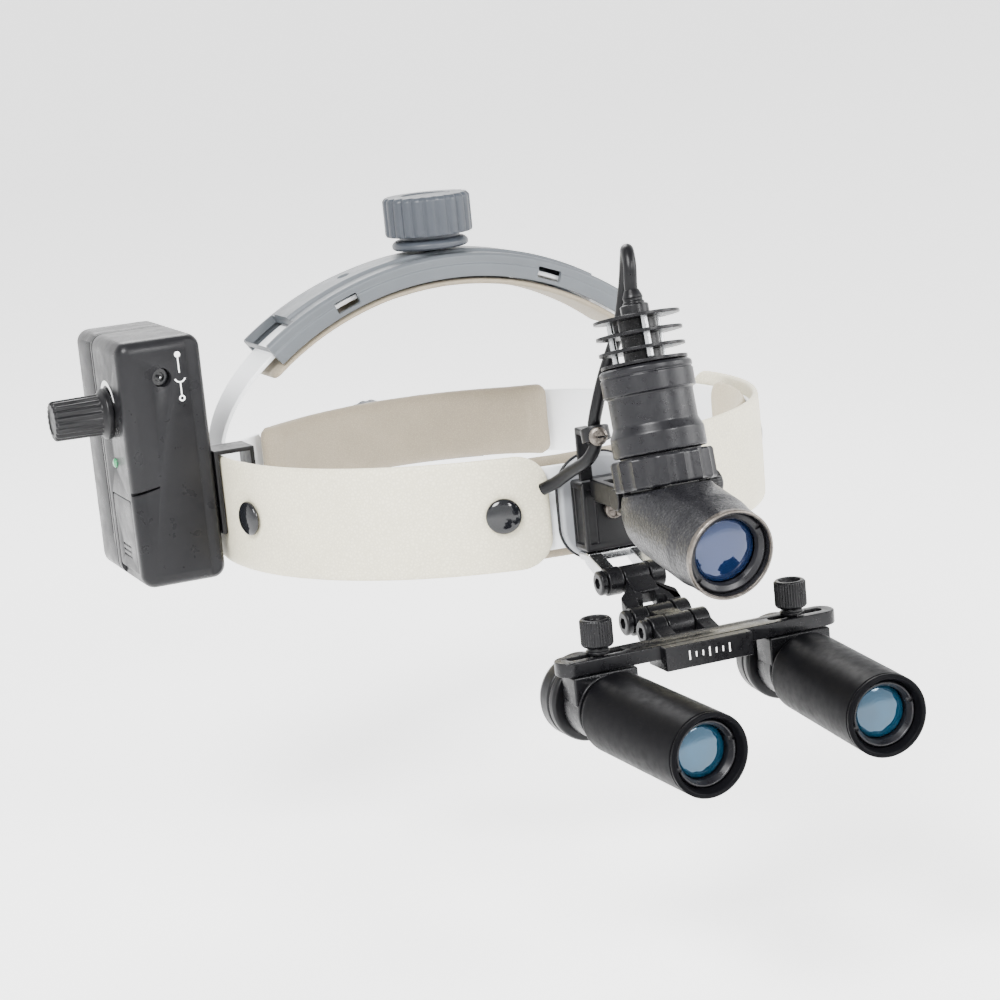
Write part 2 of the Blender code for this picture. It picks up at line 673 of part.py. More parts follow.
def build_linkage():
    inner, low, high = 4.3, 4.6, 9.6
    foot = block("loupe_fork", (-9.6, -111.6, -16.4), (9.6, -104.0, -13.0 - GAP))
    for side in (-1, 1):
        x0, x1 = sorted((side * low, side * high))
        join(foot, web("leg", (-108.0, -15.3), (FORK_Y, FORK_Z), x0, x1, 2.2, 3.0),
             knuckle("eye", FORK_Y, FORK_Z, x0, x1))
    cut(foot, rod("bore", (-12, FORK_Y, FORK_Z), (12, FORK_Y, FORK_Z), PIN_RADIUS + GAP))
    hinge_pin("fork_pin", FORK_Y, FORK_Z)

    upper = knuckle("upper_link", FORK_Y, FORK_Z, -inner, inner, 4.2)
    join(upper, web("neck", (FORK_Y, FORK_Z), (-130.8, -25.2), -inner, inner, 3.4, 3.4))
    for side in (-1, 1):
        x0, x1 = sorted((side * low, side * high))
        wing = prism("wing", [(side * (inner - 2.0), -127.6), (side * high, -132.6),
                              (side * high, -136.0), (side * low, -136.0),
                              (side * low, -133.9), (side * (inner - 2.0), -133.9)],
                     lambda a, b, h: (a, b, -25.4 + h + (b + 131.0) * 0.58), -3.0, 3.0)
        join(upper, wing, knuckle("eye", ELBOW_Y, ELBOW_Z, x0, x1))
    cut(upper, rod("bore", (-6, FORK_Y, FORK_Z), (6, FORK_Y, FORK_Z), PIN_RADIUS + GAP),
        rod("bore", (-12, ELBOW_Y, ELBOW_Z), (12, ELBOW_Y, ELBOW_Z), PIN_RADIUS + GAP))
    hinge_pin("link_pin_upper", ELBOW_Y, ELBOW_Z)

    lower = knuckle("lower_link", ELBOW_Y, ELBOW_Z, -inner, inner, 4.2)
    join(lower, web("neck", (ELBOW_Y, ELBOW_Z), (YOKE_Y, YOKE_Z), -inner, inner, 3.2, 3.2),
         knuckle("eye", YOKE_Y, YOKE_Z, -inner, inner, 4.2))
    cut(lower, rod("bore", (-6, ELBOW_Y, ELBOW_Z), (6, ELBOW_Y, ELBOW_Z), PIN_RADIUS + GAP),
        rod("bore", (-6, YOKE_Y, YOKE_Z), (6, YOKE_Y, YOKE_Z), PIN_RADIUS + GAP))
    hinge_pin("link_pin_lower", YOKE_Y, YOKE_Z)

    half = BAR_LENGTH / 2
    bar = prism("bridge_bar", rounded_outline(-half, half, BAR_FRONT, BAR_BACK, 4.5, 5),
                flat_xy, BAR_TOP - BAR_THICK, BAR_TOP)
    join(bar, block("badge", (-14.5, -172.4, -38.0), (14.5, -160.4, BAR_TOP - 0.1)))
    for side in (-1, 1):
        x0, x1 = sorted((side * low, side * high))
        join(bar, web("lug", (YOKE_Y, YOKE_Z), (-161.0, -32.2), x0, x1, 3.0, 1.6),
             knuckle("eye", YOKE_Y, YOKE_Z, x0, x1))
        x0, x1 = sorted((side * 24.0, side * 42.4))
        cut(bar, prism("slot", rounded_outline(x0, x1, -166.1, -162.5, 1.75, 4),
                       flat_xy, -40.0, -20.0))
    cut(bar, rod("bore", (-12, YOKE_Y, YOKE_Z), (12, YOKE_Y, YOKE_Z), PIN_RADIUS + GAP))


def build_eye(side, word):
    """One barrel with its clamp; side is -1 on the wearer's right."""
    x = side * PUPIL_DISTANCE / 2
    seat = Vector((x, -163.8, BARREL_Z))
    dip, swing = radians(DECLINE_DEG), radians(CONVERGE_DEG)
    axis = Vector((-side * sin(swing) * cos(dip), -cos(swing) * cos(dip), -sin(dip)))
    top = BAR_TOP - BAR_THICK - GAP
    clamp = block(f"clamp_{word}", (x - 10.4, -168.9, -44.0), (x + 10.4, -159.4, top))
    join(clamp, lathe("hoop", seat, axis, [(10.4, -4.6), (10.4, 5.0)], 14))
    cut(clamp, lathe("bore", seat, axis, [(NECK_RADIUS + GAP, -9), (NECK_RADIUS + GAP, 9)], 14),
        rod("thread", (x, -164.3, -45), (x, -164.3, -20), 1.8, 10))
    lathe(f"thumbscrew_{word}", (x, -164.3, BAR_TOP), (0, 0, 1),
          [(1.5, -5.0), (1.5, 0.25), (3.25, 0.3), (3.25, 3.0), (4.9, 3.1), (4.9, 10.6),
           (4.3, 11.0)], 16)
    barrel = lathe(f"barrel_{word}", seat, axis,
                   [(NECK_RADIUS, -5.9), (NECK_RADIUS, 7.5), (BARREL_RADIUS - 0.6, 7.6),
                    (BARREL_RADIUS - 0.6, 8.6), (BARREL_RADIUS, 9.2),
                    (BARREL_RADIUS, 7.6 + BARREL_LENGTH), (BARREL_RADIUS - 1.0, 61.4)], 10)
    cut(barrel, lathe("well", seat, axis, [(9.9, 54.5), (9.9, 62.5)], 14),
        lathe("bore", seat, axis, [(6.4, -9), (6.4, 58)], 16))
    lathe(f"objective_{word}", seat, axis,
          [(9.6, 54.8), (9.6, 57.0), (7.2, 57.9), (3.6, 58.4), (0.8, 58.5)], 14)
    lathe(f"eyepiece_{word}", seat, axis,
          [(12.4, -6.3), (12.9, -7.2), (12.9, -15.0), (11.6, -17.6), (9.0, -18.6),
           (6.6, -18.6), (6.6, -8.0), (7.4, -6.3)], 18, closed=True)


# ======================================================================
# lamp
# ======================================================================
def build_lamp():
    lean = radians(LAMP_LEAN_DEG)
    up = Vector((0, sin(lean), cos(lean)))
    seat = Vector((0, LAMP_Y, LAMP_Z))
    corner, nose = Vector((0, CORNER_Y, CORNER_Z)), Vector((0, NOSE_Y, NOSE_Z))
    out = (nose - corner).normalized()
    reach = (nose - corner).length

    def turned(name, profile, steps=20, closed=False):
        return lathe(name, seat, up, profile, steps, closed)

    shell = turned("elbow_housing", [(ELBOW_RADIUS - 2.4, -16.5), (ELBOW_RADIUS, -13.5),
                                     (ELBOW_RADIUS, -5.4)])
    join(shell, lathe("nose", corner, out,
                      [(10.5, -12.0), (ELBOW_RADIUS - 1.0, -7.0), (ELBOW_RADIUS + 0.3, 0.0),
                       (ELBOW_RADIUS + 0.3, reach - 12.0), (13.6, reach - 7.0),
                       (13.6, reach + 0.6)], 20),
         block("lug", (-4.2, -142.0, 2.2), (4.2, -132.0, 11.4)),
         rod("lug_eye", (-4.2, TILT_Y, TILT_Z), (4.2, TILT_Y, TILT_Z), 4.7, 20))
    cut(shell, lathe("seat_plane", seat, up, [(30.0, -5.4), (30.0, 25.0)], 20),
        lathe("bore", seat, up, [(LAMP_BORE, -13.0), (LAMP_BORE, 0.0)], 14),
        lathe("light_way", corner, out, [(LAMP_BORE, -5.5), (LAMP_BORE, reach + 2.0)], 14),
        rod("pivot_hole", (-8, TILT_Y, TILT_Z), (8, TILT_Y, TILT_Z), PIN_RADIUS + GAP))
    bisector = (up + out).normalized()
    lathe("lamp_mirror", corner + bisector * 1.0, bisector,
          [(7.6, -1.6), (7.6, -0.2)], 14)
    lathe("lamp_lens", corner, out,
          [(10.1, reach - 6.4), (10.1, reach - 4.0), (7.6, reach - 3.0), (3.8, reach - 2.4),
           (0.8, reach - 2.2)], 14)

    turned("lamp_barrel", [(LAMP_BORE, -4.8), (12.3, -4.8), (12.3, 5.3), (14.2, 5.4),
                           (14.2, 13.6), (13.0, 14.2), (13.0, 23.4), (14.0, 23.9),
                           (14.0, 31.2), (13.3, 31.8), (LAMP_BORE, 31.8)], 20, closed=True)
    lathe("aperture_ring", seat, up,
          [(12.7, -4.8), (12.7, 4.8), (15.6, 4.8), (15.6, -4.8)], 24, closed=True)
    fins = []
    for h in (36.6, 41.4, 46.2):
        fins += [(5.8, h - 0.6), (13.2, h - 0.55), (13.2, h + 0.55), (5.8, h + 0.6)]
    turned("heat_sink", [(10.0, 26.0), (10.0, 31.9), (13.2, 32.1), (13.2, 33.2), (5.8, 33.3)]
           + fins + [(4.3, 46.9), (4.3, 50.2), (3.4, 50.4)], 10)

    arm = block("lamp_arm", (-4.3, -118.0, 4.2), (4.3, -108.8, 9.6))
    for side in (-1, 1):
        x0, x1 = sorted((side * 4.6, side * 7.4))
        join(arm, block("cheek", (x0, -131.0, 3.4), (x1, -114.5, 10.6)),
             rod("eye", (x0, TILT_Y, TILT_Z), (x1, TILT_Y, TILT_Z), 4.6, 20))
    join(arm, block("bridge", (-7.4, -118.0, 4.2), (7.4, -112.3, 10.6)))
    cut(arm, rod("pivot_hole", (-12, TILT_Y, TILT_Z), (12, TILT_Y, TILT_Z), PIN_RADIUS + GAP))
    lathe("tilt_knob", (0, TILT_Y, TILT_Z), (1, 0, 0),
          [(3.4, -9.0), (3.4, -7.8), (PIN_RADIUS, -7.7), (PIN_RADIUS, 20.0), (3.0, 20.1),
           (3.0, 21.8), (4.9, 21.9), (4.9, 27.0), (4.0, 27.8)], 16)

    clip = block("cable_clip", (-9.8, -111.0, 9.7), (-5.2, -109.4, 27.0))
    join(clip, block("shelf", (-9.8, -117.6, 24.4), (-5.2, -109.4, 27.0)),
         ring("hoop", (-7.5, -120.6, 25.7), (0, 0.35, 1), 2.9, 4.6, -2.3, 2.3))
    route = [Vector((-6.4, -121.0, 34.0)), Vector((-3.5, -122.4, 44.0)),
             Vector((2.2, -123.6, 58.0)), Vector((4.4, -125.4, 70.0)),
             Vector((3.8, -129.6, 79.0)), Vector((1.6, -135.4, 82.2)),
             Vector((0.3, -139.2, 78.0)), seat + up * 54.6, seat + up * 50.7]
    tube_along("lamp_cable", smooth_path(route, 4), CABLE_RADIUS)
    lead = [Vector((-7.3, -119.7, 28.4)), Vector((-7.5, -120.6, 25.7)),
            Vector((-8.0, -121.4, 22.6)), Vector((-9.9, -118.2, 17.6)),
            Vector((-12.6, -109.5, 13.0)), Vector((-15.2, -104.4, 9.6))]
    tube_along("band_cable", smooth_path(lead, 4), CABLE_RADIUS)


# ======================================================================
# battery case
# ======================================================================
def build_case():
    def shell(name, inset, low, high):
        outline = rounded_outline(CASE_OUT + inset, CASE_IN - inset,
                                  CASE_LOW + inset, CASE_TOP - inset,
                                  max(CASE_CORNER - inset, 1.0), 4)
        return prism(name, outline, flat_xz, -high, -low)

    front = shell("case_front", 0.0, CASE_FRONT, CASE_SPLIT - 0.2)
    cut(front, shell("hollow", CASE_WALL, CASE_FRONT + CASE_WALL, CASE_SPLIT + 5),
        rod("dimmer_hole", (-130, DIMMER_Y, DIMMER_Z), (-120, DIMMER_Y, DIMMER_Z), 2.3),
        rod("led_hole", (-130, DIMMER_Y, 19.0), (-120, DIMMER_Y, 19.0), 1.9),
        rod("socket_hole", (-113.3, -20, 47.9), (-113.3, 0, 47.9), SOCKET_RADIUS, 32),
        block("door_seat", (-130, -8.2, -30), (-126.0, 16.2, 8.0)))
    back = shell("case_back", 0.0, CASE_SPLIT + 0.2, CASE_BACK)
    cut(back, shell("hollow", CASE_WALL, CASE_SPLIT - 5, CASE_BACK - CASE_WALL))
    block("battery_door", (CASE_OUT, -7.8, CASE_LOW + 4.6), (-126.3, 15.8, 7.6))
    cell = rounded_outline(-119.0, -102.0, -16.0, 44.0, 3.0, 3)
    prism("battery_pack", cell, flat_xz, -40.0, -2.0)
    lathe("dimmer_knob", (CASE_OUT, DIMMER_Y, DIMMER_Z), (-1, 0, 0),
          [(1.9, -5.5), (1.9, 0.25), (8.6, 0.3), (8.6, 3.0), (7.0, 3.1), (7.0, 19.2),
           (6.2, 20.0)], 14)
    lathe("power_led", (CASE_OUT, DIMMER_Y, 19.0), (-1, 0, 0),
          [(1.6, -2.6), (1.6, 0.3), (0.9, 0.9)], 10)
    clip = block("band_clip", (-98.4, -12.0, -8.0), (-96.6, 2.0, 20.6))
    join(clip, block("over", (-98.4, -12.0, 19.0), (-84.2, 2.0, 20.6)),
         block("leg", (-85.6, -12.0, 4.0), (-84.2, 2.0, 20.6)))


# ======================================================================
# finishes and origins
# ======================================================================
def paint(item, name, color, roughness, metallic):
    material = bpy.data.materials.new(name)
    material.use_nodes = True
    shader = material.node_tree.nodes["Principled BSDF"]
    shader.inputs["Base Color"].default_value = (*color, 1.0)
    shader.inputs["Roughness"].default_value = roughness
    shader.inputs["Metallic"].default_value = metallic
    item.data.materials.clear()
    item.data.materials.append(material)


def finish_parts():
    """Smooth shading, a material of its own, and an origin on its axis."""
    for slot, (color, roughness, metallic, names) in FINISHES.items():
        for name in names:
            item = bpy.data.objects[name]
            paint(item, f"{name}_{slot}", color, roughness, metallic)
            item.data.shade_smooth()
            item.data.set_sharp_from_angle(angle=radians(40))
    for name, pivot in PIVOTS.items():
        item = bpy.data.objects[name]
        shift = Vector(pivot) * MM
        item.data.transform(Matrix.Translation(-shift))
        item.location = shift


def collect_parts():
    """Move every piece into a collection named for the object."""
    parts = bpy.data.collections.new("dental_loupes")
    bpy.context.scene.collection.children.link(parts)
    for item in list(bpy.context.scene.collection.objects):
        parts.objects.link(item)
        bpy.context.scene.collection.objects.unlink(item)


def main():
    clear_scene()
    build_band()
    build_side(1, "right")
    build_side(-1, "left")
    build_front()
    build_rear()
    build_crown()
    build_linkage()
    build_eye(-1, "right")
    build_eye(1, "left")
    build_lamp()
    build_case()
    finish_parts()
    collect_parts()


main()
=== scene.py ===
"""Headband loupes with a lamp and a battery case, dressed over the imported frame.

The wearer looks along -Y, the wearer's right is -X and +Z is up. Sizes in this
file are millimetres, and MM turns them into Blender's metres as a mesh is made.
"""
import json
import logging
import math
from collections.abc import Callable, Sequence
from dataclasses import dataclass, field
from enum import Enum

import bmesh
import bpy
import numpy as np
from mathutils import Matrix, Vector
from numpy.typing import NDArray


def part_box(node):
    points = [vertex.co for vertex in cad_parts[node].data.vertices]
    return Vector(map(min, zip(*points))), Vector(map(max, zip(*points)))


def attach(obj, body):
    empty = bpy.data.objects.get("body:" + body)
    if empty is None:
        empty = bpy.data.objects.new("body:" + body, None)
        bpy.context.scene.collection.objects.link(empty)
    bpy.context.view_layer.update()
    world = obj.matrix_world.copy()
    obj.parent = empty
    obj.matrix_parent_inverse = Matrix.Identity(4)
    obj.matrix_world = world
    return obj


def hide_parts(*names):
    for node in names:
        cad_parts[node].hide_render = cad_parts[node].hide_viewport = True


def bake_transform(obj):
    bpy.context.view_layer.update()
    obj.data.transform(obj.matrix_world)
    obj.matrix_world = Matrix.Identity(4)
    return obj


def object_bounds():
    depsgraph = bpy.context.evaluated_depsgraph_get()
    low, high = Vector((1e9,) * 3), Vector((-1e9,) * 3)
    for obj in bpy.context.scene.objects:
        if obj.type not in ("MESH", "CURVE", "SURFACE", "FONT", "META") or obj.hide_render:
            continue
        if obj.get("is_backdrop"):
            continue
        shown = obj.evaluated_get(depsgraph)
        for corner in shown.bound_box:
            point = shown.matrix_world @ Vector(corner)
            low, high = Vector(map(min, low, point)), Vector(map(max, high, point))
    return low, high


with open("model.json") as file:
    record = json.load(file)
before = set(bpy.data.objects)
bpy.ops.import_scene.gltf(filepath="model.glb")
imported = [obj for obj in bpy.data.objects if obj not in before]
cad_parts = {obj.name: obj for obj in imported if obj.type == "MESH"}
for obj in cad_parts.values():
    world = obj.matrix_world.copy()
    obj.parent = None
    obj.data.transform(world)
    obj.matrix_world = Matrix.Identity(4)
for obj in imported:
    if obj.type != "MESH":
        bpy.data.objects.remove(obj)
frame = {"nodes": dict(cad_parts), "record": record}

Array = NDArray[np.float64]
Place = Callable[[Array, Array, Array], Array]
MM = 0.001
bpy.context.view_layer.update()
log = logging.getLogger("loupes")


class Side(Enum):
    """The wearer's two sides, by the sign of X."""

    RIGHT = -1
    LEFT = 1

    @property
    def word(self) -> str:
        """The side's name as the frame's nodes spell it."""
        return self.name.lower()


class Grain(Enum):
    """The kinds of surface texture a finish may have."""

    LEATHER = "leather"
    MOULDED = "moulded"
    CAST = "cast"
    TURNED = "turned"
    SMOOTH = "smooth"


# ---------------------------------------------------------------- finishes
def linear(red: int, green: int, blue: int) -> tuple[float, float, float, float]:
    """Turn a screen colour into the linear colour a shader takes.

    Args:
        red, green, blue: Screen values from 0 to 255.

    Returns:
        Linear red, green, blue and an alpha of 1.
    """
    screen = np.array([red, green, blue]) / 255.0
    value = np.where(screen <= 0.04045, screen / 12.92, ((screen + 0.055) / 1.055) ** 2.4)
    return (*(float(x) for x in value), 1.0)


@dataclass(frozen=True)
class Finish:
    """A procedural finish read from Object coordinates.

    Attributes:
        name: The material's name.
        screen: The middle colour as screen values.
        drift: How far the colour wanders, as a share.
        patch: Size in millimetres of the colour's patches.
        roughness: The middle roughness.
        spread: How far the roughness wanders each way.
        metallic: 1 for bare metal.
        specular: Strength of the plain reflection.
        coat: Weight of a clear coat.
        coat_roughness: Roughness of the clear coat.
        sheen: Weight of a cloth-like sheen.
        grain: Which texture lies over the surface.
        cell: Size in millimetres of the texture's cells.
        depth: Height in millimetres of the texture.
        glow: Strength of light given off, in the finish's own colour.
    """

    name: str
    screen: tuple[int, int, int]
    drift: float = 0.06
    patch: float = 14.0
    roughness: float = 0.5
    spread: float = 0.08
    metallic: float = 0.0
    specular: float = 0.5
    coat: float = 0.0
    coat_roughness: float = 0.1
    sheen: float = 0.0
    grain: Grain = Grain.MOULDED
    cell: float = 0.5
    depth: float = 0.02
    glow: float = 0.0

    def material(self) -> bpy.types.Material:
        """Return the finish's material, building it the first time."""
        found = bpy.data.materials.get(f"look_{self.name}")
        return found if found else self.build()

    def build(self) -> bpy.types.Material:
        """Build the shader: a wandering colour and roughness over a bump, with painted shade in the
        creases of leather.

        Returns:
            The new material.
        """
        material = bpy.data.materials.new(f"look_{self.name}")
        material.use_nodes = True
        tree = material.node_tree
        shader = tree.nodes["Principled BSDF"]
        shader.inputs["Metallic"].default_value = self.metallic
        shader.inputs["Specular IOR Level"].default_value = self.specular
        shader.inputs["Coat Weight"].default_value = self.coat
        shader.inputs["Coat Roughness"].default_value = self.coat_roughness
        shader.inputs["Sheen Weight"].default_value = self.sheen
        shader.inputs["Sheen Roughness"].default_value = 0.4
        place = tree.nodes.new("ShaderNodeTexCoord").outputs["Object"]
        patches = self.noise(tree, place, self.patch, detail=4.0)
        middle = linear(*self.screen)
        colour = self.ramp(tree, patches, [(0.30, scaled(middle, 1 - self.drift)),
                                           (0.70, scaled(middle, 1 + self.drift))])
        relief, creases = self.relief(tree, place)
        # Painted shade: on leather the colour is multiplied darker towards the bottoms of the
        # creases.
        if creases is not None:
            painted_crease_shade = self.ramp(tree, creases, [(0.0, (0.82, 0.81, 0.79, 1.0)),
                                               (0.30, (1.0, 1.0, 1.0, 1.0))])
            colour = self.multiply(tree, colour, painted_crease_shade)
        tree.links.new(colour, shader.inputs["Base Color"])
        span = tree.nodes.new("ShaderNodeMapRange")
        span.inputs["From Min"].default_value = 0.3
        span.inputs["From Max"].default_value = 0.7
        span.inputs["To Min"].default_value = max(self.roughness - self.spread, 0.02)
        span.inputs["To Max"].default_value = min(self.roughness + self.spread, 1.0)
        fine = self.noise(tree, place, self.patch / 4, detail=6.0)
        tree.links.new(fine, span.inputs["Value"])
        tree.links.new(span.outputs["Result"], shader.inputs["Roughness"])
        if relief is not None:
            bump = tree.nodes.new("ShaderNodeBump")
            bump.inputs["Strength"].default_value = 0.8
            bump.inputs["Distance"].default_value = self.depth * MM
            tree.links.new(relief, bump.inputs["Height"])
            tree.links.new(bump.outputs["Normal"], shader.inputs["Normal"])
        if self.glow:
            shader.inputs["Emission Color"].default_value = middle
            shader.inputs["Emission Strength"].default_value = self.glow
        return material

    def relief(self, tree: bpy.types.NodeTree, place: bpy.types.NodeSocket
               ) -> tuple[bpy.types.NodeSocket | None, bpy.types.NodeSocket | None]:
        """Make the bump's height and, on leather, its creases.

        Leather is cells parted by creases, bent by a coarser noise. A casting
        is noise with pits. Moulded and turned surfaces are fine noise.

        Args:
            tree: The material's nodes.
            place: The Object coordinates.

        Returns:
            The height, and the creases from 0 at their bottoms to 1, which also darken the colour
            as painted shade.
        """
        if self.grain is Grain.SMOOTH:
            return None, None
        if self.grain in (Grain.MOULDED, Grain.TURNED):
            return self.noise(tree, place, self.cell, detail=3.0), None
        bent = self.bend(tree, place, self.cell * 3.0, self.cell * 0.9)
        cells = tree.nodes.new("ShaderNodeTexVoronoi")
        cells.feature = 'DISTANCE_TO_EDGE' if self.grain is Grain.LEATHER else 'F1'
        cells.inputs["Scale"].default_value = 1.0 / (self.cell * MM)
        tree.links.new(bent, cells.inputs["Vector"])
        edges = cells.outputs["Distance"]
        fine = self.noise(tree, place, self.cell * 0.5, detail=5.0)
        total = tree.nodes.new("ShaderNodeMath")
        total.operation = 'MULTIPLY_ADD'
        total.inputs[1].default_value = 0.6
        tree.links.new(fine, total.inputs[0])
        tree.links.new(edges, total.inputs[2])
        return total.outputs["Value"], (edges if self.grain is Grain.LEATHER else None)

    @staticmethod
    def noise(tree: bpy.types.NodeTree, place: bpy.types.NodeSocket, size: float,
              detail: float) -> bpy.types.NodeSocket:
        """Return fractal noise whose features are size millimetres across."""
        node = tree.nodes.new("ShaderNodeTexNoise")
        node.inputs["Scale"].default_value = 1.0 / (size * MM)
        node.inputs["Detail"].default_value = detail
        node.inputs["Roughness"].default_value = 0.55
        tree.links.new(place, node.inputs["Vector"])
        return node.outputs["Fac"]

    @staticmethod
    def bend(tree: bpy.types.NodeTree, place: bpy.types.NodeSocket, size: float,
             reach: float) -> bpy.types.NodeSocket:
        """Return coordinates pushed about by reach millimetres of noise."""
        node = tree.nodes.new("ShaderNodeTexNoise")
        node.inputs["Scale"].default_value = 1.0 / (size * MM)
        tree.links.new(place, node.inputs["Vector"])
        push = tree.nodes.new("ShaderNodeVectorMath")
        push.operation = 'MULTIPLY_ADD'
        push.inputs[1].default_value = (reach * MM,) * 3
        tree.links.new(node.outputs["Color"], push.inputs[0])
        tree.links.new(place, push.inputs[2])
        return push.outputs["Vector"]

    @staticmethod
    def ramp(tree: bpy.types.NodeTree, value: bpy.types.NodeSocket,
             stops: Sequence[tuple[float, tuple[float, ...]]]) -> bpy.types.NodeSocket:
        """Return a colour read from a value through two stops."""
        node = tree.nodes.new("ShaderNodeValToRGB")
        for element, (spot, colour) in zip(node.color_ramp.elements, stops):
            element.position = spot
            element.color = colour
        tree.links.new(value, node.inputs["Fac"])
        return node.outputs["Color"]

    @staticmethod
    def multiply(tree: bpy.types.NodeTree, first: bpy.types.NodeSocket,
                 second: bpy.types.NodeSocket) -> bpy.types.NodeSocket:
        """Return the product of two colours."""
        node = tree.nodes.new("ShaderNodeMix")
        node.data_type = 'RGBA'
        node.blend_type = 'MULTIPLY'
        sockets = {socket.identifier: socket for socket in node.inputs}
        sockets["Factor_Float"].default_value = 1.0
        tree.links.new(first, sockets["A_Color"])
        tree.links.new(second, sockets["B_Color"])
        return {socket.identifier: socket for socket in node.outputs}["Result_Color"]


def scaled(colour: tuple[float, ...], share: float) -> tuple[float, float, float, float]:
    """Return a linear colour made lighter or darker."""
    return (*(min(x * share, 1.0) for x in colour[:3]), 1.0)
COVER = Finish("cover_leather", (216, 210, 186), drift=0.035, patch=22.0, roughness=0.50,
               grain=Grain.LEATHER, cell=1.1, depth=0.09, sheen=0.05)
# The side linings' leather is the cover's leather drawn darker: painted shade for the inside of the
# ring.
SHADED_LINING = Finish("lining_leather", (178, 167, 142), drift=0.05, patch=18.0, roughness=0.62,
                grain=Grain.LEATHER, cell=0.9, depth=0.08, sheen=0.1)
WEBBING = Finish("brown_grey_lining", (140, 130, 112), drift=0.05, patch=12.0, roughness=0.75,
                 grain=Grain.LEATHER, cell=0.7, depth=0.08, sheen=0.15)
WHITE = Finish("white_plastic", (232, 234, 236), drift=0.02, patch=30.0, roughness=0.38)
PLATE = Finish("plate_plastic", (130, 132, 136), drift=0.03, patch=20.0, roughness=0.35)
GREY = Finish("grey_plastic", (80, 84, 88), drift=0.05, patch=18.0, roughness=0.40,
              specular=0.35, depth=0.03)
KNOB = Finish("knob_plastic", (54, 58, 64), drift=0.05, patch=10.0, roughness=0.38,
              specular=0.3, depth=0.03)
SNAP = Finish("snap_enamel", (16, 17, 20), drift=0.10, patch=3.0, roughness=0.12, spread=0.04,
              coat=0.35, coat_roughness=0.05, specular=0.3, grain=Grain.SMOOTH)
SHELL = Finish("case_plastic", (20, 20, 22), drift=0.08, patch=24.0, roughness=0.32, specular=0.18,
               cell=0.35, depth=0.03)
BLACK = Finish("black_plastic", (12, 12, 14), drift=0.10, patch=9.0, roughness=0.36,
               specular=0.25, depth=0.02)
ANODISED = Finish("black_anodised", (16, 16, 18), drift=0.12, patch=7.0, roughness=0.30,
                  specular=0.25, metallic=0.2, grain=Grain.TURNED, cell=0.25, depth=0.012)
MATT = Finish("matt_barrel", (8, 8, 10), drift=0.10, patch=11.0, roughness=0.40, specular=0.03,
              metallic=0.0, grain=Grain.TURNED, cell=0.3, depth=0.02)
LAMP = Finish("lamp_metal", (18, 18, 21), drift=0.10, patch=9.0, roughness=0.32, metallic=0.1,
              specular=0.28,
              grain=Grain.TURNED, cell=0.25, depth=0.012)
CAST = Finish("cast_metal", (22, 22, 25), drift=0.22, patch=2.2, roughness=0.34, spread=0.14,
              specular=0.35, metallic=0.1, grain=Grain.CAST, cell=1.2, depth=0.16)
STEEL = Finish("bright_steel", (186, 188, 190), drift=0.08, patch=4.0, roughness=0.22,
               spread=0.08, metallic=1.0, grain=Grain.TURNED, cell=0.3, depth=0.01)
SCREW = Finish("worn_screw", (104, 98, 92), drift=0.35, patch=1.2, roughness=0.35, spread=0.12,
               metallic=0.9, grain=Grain.CAST, cell=0.8, depth=0.08)
RUBBER = Finish("cable_rubber", (10, 10, 12), drift=0.08, patch=8.0, roughness=0.34,
                specular=0.2, depth=0.02)
LAMP_GLASS = Finish("lamp_glass", (18, 36, 70), drift=0.20, patch=16.0, roughness=0.06,
                    spread=0.02, metallic=0.5, coat=0.6, coat_roughness=0.02,
                    grain=Grain.SMOOTH)
LOUPE_GLASS = Finish("loupe_glass", (14, 56, 78), drift=0.25, patch=10.0, roughness=0.06,
                     spread=0.02, metallic=0.5, coat=0.6, coat_roughness=0.02,
                     grain=Grain.SMOOTH)
MARK = Finish("white_mark", (238, 238, 238), drift=0.01, patch=5.0, roughness=0.5)
LED = Finish("green_led", (46, 128, 84), drift=0.15, patch=1.0, roughness=0.15, coat=0.6,
             grain=Grain.SMOOTH, glow=0.25)
CELL = Finish("battery_wrap", (52, 74, 112), drift=0.05, patch=12.0, roughness=0.3)
SLOT_FINISH: dict[str, Finish] = {
    "pad_leather": COVER, "liner": WEBBING, "white_plastic": WHITE, "snap": SNAP,
    "grey_plastic": GREY, "black_plastic": BLACK, "case_plastic": SHELL,
    "black_metal": ANODISED, "barrel_black": MATT, "lamp_black": LAMP, "steel": STEEL,
    "black_screw": ANODISED, "cable": RUBBER, "battery": CELL, "led": LED,
    "mirror": STEEL, "lens_glass": LAMP_GLASS}


# ---------------------------------------------------------------- shape tools
def vec(*values: float) -> Array:
    """Return a point or direction as an array."""
    return np.array(values, float)


def unit(value: Array) -> Array:
    """Return a direction of length one."""
    return value / np.linalg.norm(value, axis=-1, keepdims=True)


def basis(axis: Array) -> tuple[Array, Array, Array]:
    """Return two directions across an axis and the axis, right-handed."""
    w = unit(axis)
    side = vec(0, 0, 1) if abs(w[2]) < 0.9 else vec(0, 1, 0)
    u = unit(np.cross(side, w))
    return u, np.cross(w, u), w


